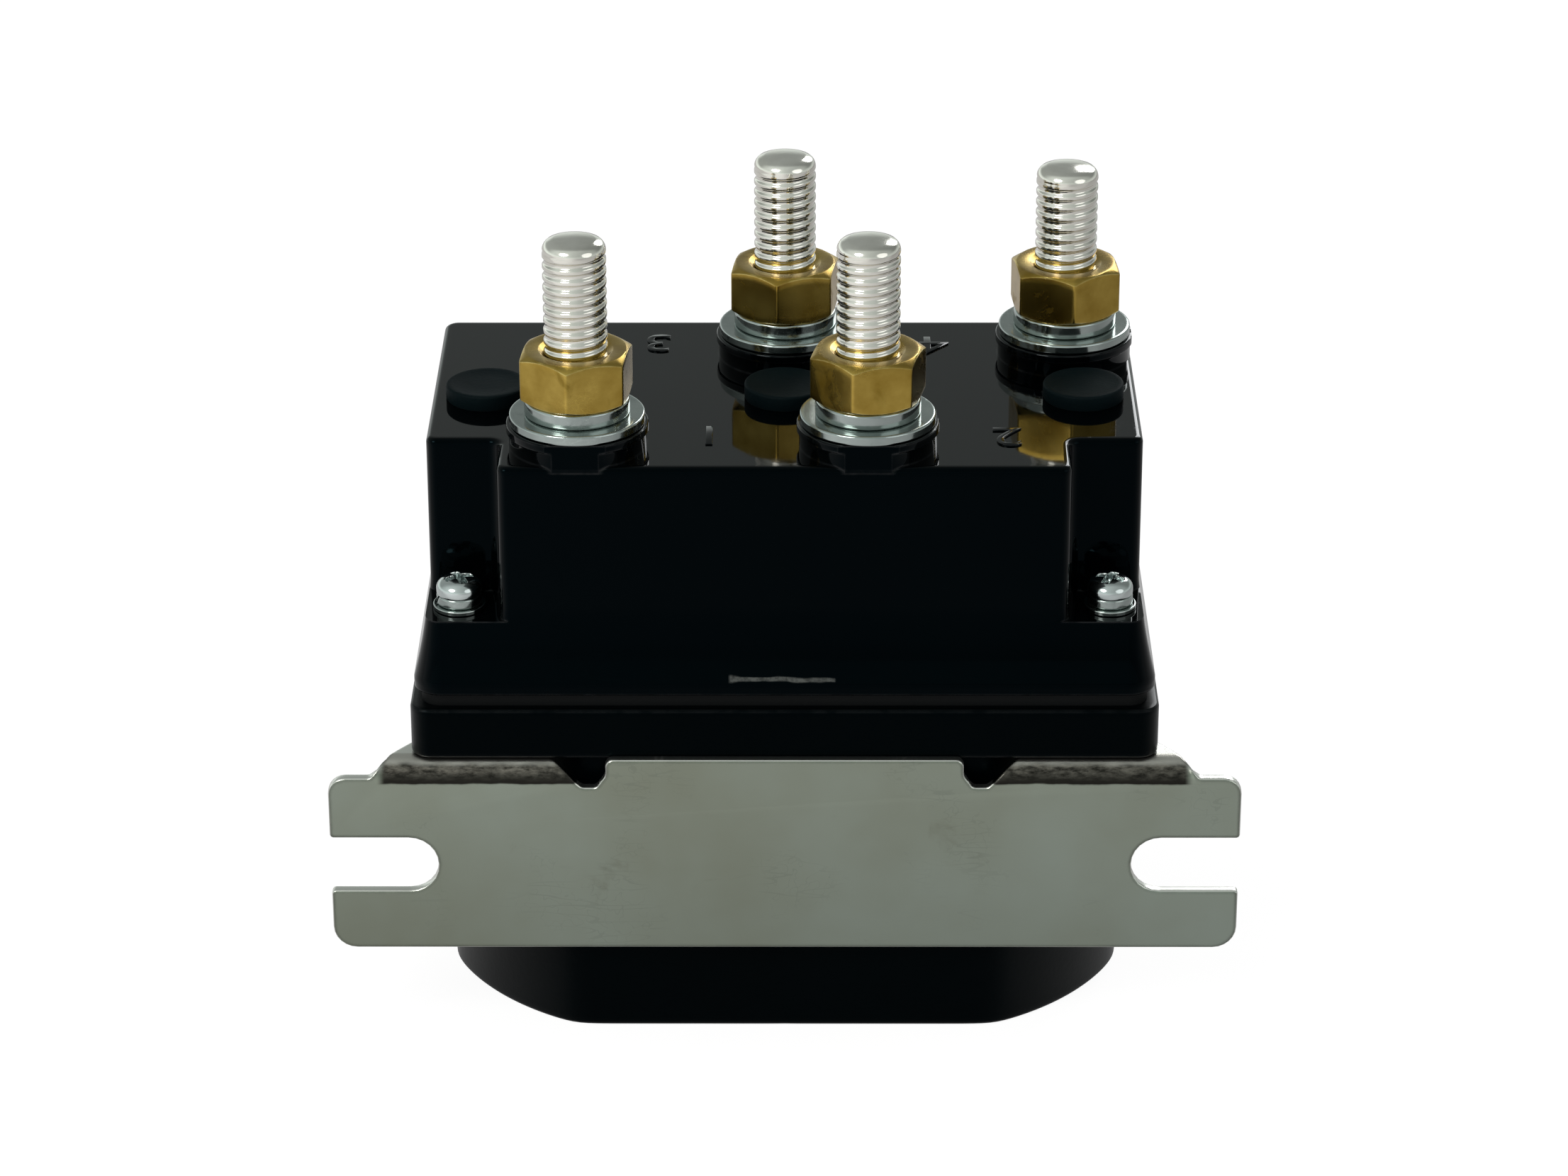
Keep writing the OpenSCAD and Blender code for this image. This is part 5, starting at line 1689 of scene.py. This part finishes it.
@dataclass
class Studio:
    """White floor, soft lamps, plain surroundings, and the camera at the photograph's place.

    A slope gives two places and the brightness at each. Those of the sky are shares of a direction, and
    those of the floor are metres.
    """

    eye: Point = (2.61, -600.26, 327.04)
    forward: Point = (-0.00419, 0.90850, -0.41787)
    yaw: float = -0.264
    roll: float = -0.102
    lens: float = 116.7
    sensor: float = 36.0
    view_end: float = 50.0
    ambient: float = 0.42
    reflected_hue: Colour = (0.93, 1.0, 0.965)
    sky_height: Pair = (0.10, 0.36)
    sky_depth: Slope = (-0.2, 0.4, 0.25, 0.61)
    sky_side: Slope = (-0.7, 0.7, 1.0, 0.6)
    floor_half: float = 3.0
    floor_tone: Colour = (0.82, 0.82, 0.82)
    floor_seen: float = 1.15
    # In reflections only, the floor dims to the right and near the part: painted shade
    floor_side: Slope = (-0.25, 0.28, 1.05, 0.45)
    floor_depth: Slope = (-0.120, -0.045, 1.0, 0.62)
    floor_glow: Pair = (0.8, 0.6)
    lamps: tuple[Lamp, ...] = (
        Lamp("key_lamp", (-520.0, -620.0, 640.0), (0.0, 0.0, 60.0), 0.42, 3.4, (1.0, 0.985, 0.95)),
        Lamp("fill_lamp", (620.0, -520.0, 420.0), (0.0, 0.0, 50.0), 0.60, 0.7),
        Lamp("rear_lamp", (330.0, 760.0, 470.0), (0.0, 0.0, 70.0), 0.42, 2.2, (0.98, 0.99, 1.0)),
    )

    def camera(self) -> None:
        """Puts the camera where the photograph was taken, and makes it the scene's."""
        ahead = Vector(self.forward).normalized()
        yaw, roll = math.radians(self.yaw), math.radians(self.roll)
        right = Vector((math.cos(yaw), -math.sin(yaw), 0.0))
        up = right.cross(ahead)
        tilted_right = right * math.cos(roll) + up * math.sin(roll)
        tilted_up = up * math.cos(roll) - right * math.sin(roll)
        data = bpy.data.cameras.new("photo_camera")
        data.lens, data.sensor_width, data.clip_end = self.lens, self.sensor, self.view_end
        camera = bpy.data.objects.new("photo_camera", data)
        pose = Matrix((tilted_right, tilted_up, -ahead)).transposed().to_4x4()
        pose.translation = Vector(self.eye) * MM
        camera.matrix_world = pose
        bpy.context.scene.collection.objects.link(camera)
        bpy.context.scene.camera = camera

    def shine(self) -> None:
        """Places the lamps."""
        for lamp in self.lamps:
            data = bpy.data.lights.new(lamp.name, "AREA")
            data.shape, data.size, data.energy, data.color = "DISK", lamp.width, lamp.power, lamp.colour
            light = bpy.data.objects.new(lamp.name, data)
            aim = (Vector(lamp.target) - Vector(lamp.place)).to_track_quat("-Z", "Y")
            light.matrix_world = Matrix.Translation(Vector(lamp.place) * MM) @ aim.to_matrix().to_4x4()
            bpy.context.scene.collection.objects.link(light)

    def ray_kinds(self, tree: Tree) -> tuple[Socket, Socket]:
        """Two values that tell what a ray is for.

        Args:
            tree: Where they are made.

        Returns:
            One that is 1 for rays of the camera, and one that is 1 for rays of reflections and of glass.
        """
        path = tree.add("LightPath")
        mirrored = tree.math("MAXIMUM", path.outputs["Is Glossy Ray"], path.outputs["Is Transmission Ray"])
        return path.outputs["Is Camera Ray"], mirrored

    def surroundings(self) -> None:
        """World: white at the horizon and dimmer overhead for reflections, a plain level for the light."""
        world = bpy.data.worlds.new("plain_studio")
        world.use_nodes = True
        bpy.context.scene.world = world
        tree = Tree(world.node_tree)
        camera, mirrored = self.ray_kinds(tree)
        direction = tree.add("SeparateXYZ", {0: tree.add("TexCoord").outputs["Generated"]})
        low = tree.ramp(direction.outputs["Z"], *self.sky_height)
        dim = tree.ramp(direction.outputs["Y"], *self.sky_depth)
        ceiling = tree.math("SUBTRACT", 1.0, tree.product(low, dim))
        shade = tree.product(ceiling, tree.ramp(direction.outputs["X"], *self.sky_side))
        plain = tree.product(tree.math("SUBTRACT", 1.0, mirrored), self.ambient)
        strength = tree.math("ADD", plain, tree.product(mirrored, shade))
        lit = tree.math("MAXIMUM", strength, camera)
        hue = tree.blend(mirrored, WHITE, self.reflected_hue)
        back = tree.add("Background", {"Color": hue, "Strength": lit})
        tree.add("OutputWorld", {"Surface": back.outputs[0]})

    def floor(self) -> None:
        """White floor that keeps a light shadow of the part. In reflections it is dimmer on the right, and
        darker near the part, a painted shade.
        """
        mesh = bpy.data.meshes.new("studio_floor")
        half = self.floor_half
        corners = [(-half, -half, 0.0), (half, -half, 0.0), (half, half, 0.0), (-half, half, 0.0)]
        mesh.from_pydata(corners, [], [(0, 1, 2, 3)])
        floor = bpy.data.objects.new("studio_floor", mesh)
        bpy.context.scene.collection.objects.link(floor)
        material = bpy.data.materials.new("studio_floor")
        material.use_nodes = True
        tree = Tree(material.node_tree)
        matte = tree.add("BsdfDiffuse", {"Color": (*self.floor_tone, 1.0)})
        camera, mirrored = self.ray_kinds(tree)
        place = tree.add("SeparateXYZ", {0: tree.add("TexCoord").outputs["Object"]})
        side = tree.ramp(place.outputs["X"], *self.floor_side)
        dimmed = tree.product(side, tree.ramp(place.outputs["Y"], *self.floor_depth))
        strength = tree.math("ADD", tree.product(camera, self.floor_seen), tree.product(mirrored, dimmed))
        glow = tree.add("Emission", {"Color": (*WHITE, 1.0), "Strength": strength})
        seen_glow, mirrored_glow = self.floor_glow
        share = tree.math("ADD", tree.product(camera, seen_glow), tree.product(mirrored, mirrored_glow))
        mix = tree.add("MixShader", {0: share, 1: matte.outputs[0], 2: glow.outputs[0]})
        tree.add("OutputMaterial", {"Surface": mix.outputs[0]})
        mesh.materials.append(material)

    def build(self) -> None:
        """Sets the whole studio up."""
        scene = bpy.context.scene
        scene.view_settings.view_transform = "Standard"
        self.camera()
        self.shine()
        self.surroundings()
        self.floor()
        LOG.info("studio with %d lamps", len(self.lamps))


def main() -> None:
    """Loads the frame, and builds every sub-assembly in order."""
    logging.basicConfig(level=logging.INFO, format="%(name)s %(message)s")
    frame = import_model()
    Studio().build()
    bench = Bench(PaintShop())
    terminals = Terminals()
    Cover().build(bench, terminals.centres())
    Numerals().build(bench)
    LowerBody().build(bench)
    Bracket().build(bench)
    terminals.build(bench)
    Plugs().build(bench)
    PocketScrews().build(bench)
    Springs().build(bench, frame["nodes"])
    Insides().dress(bench.paint, frame["nodes"])


if __name__ == "__main__":
    main()
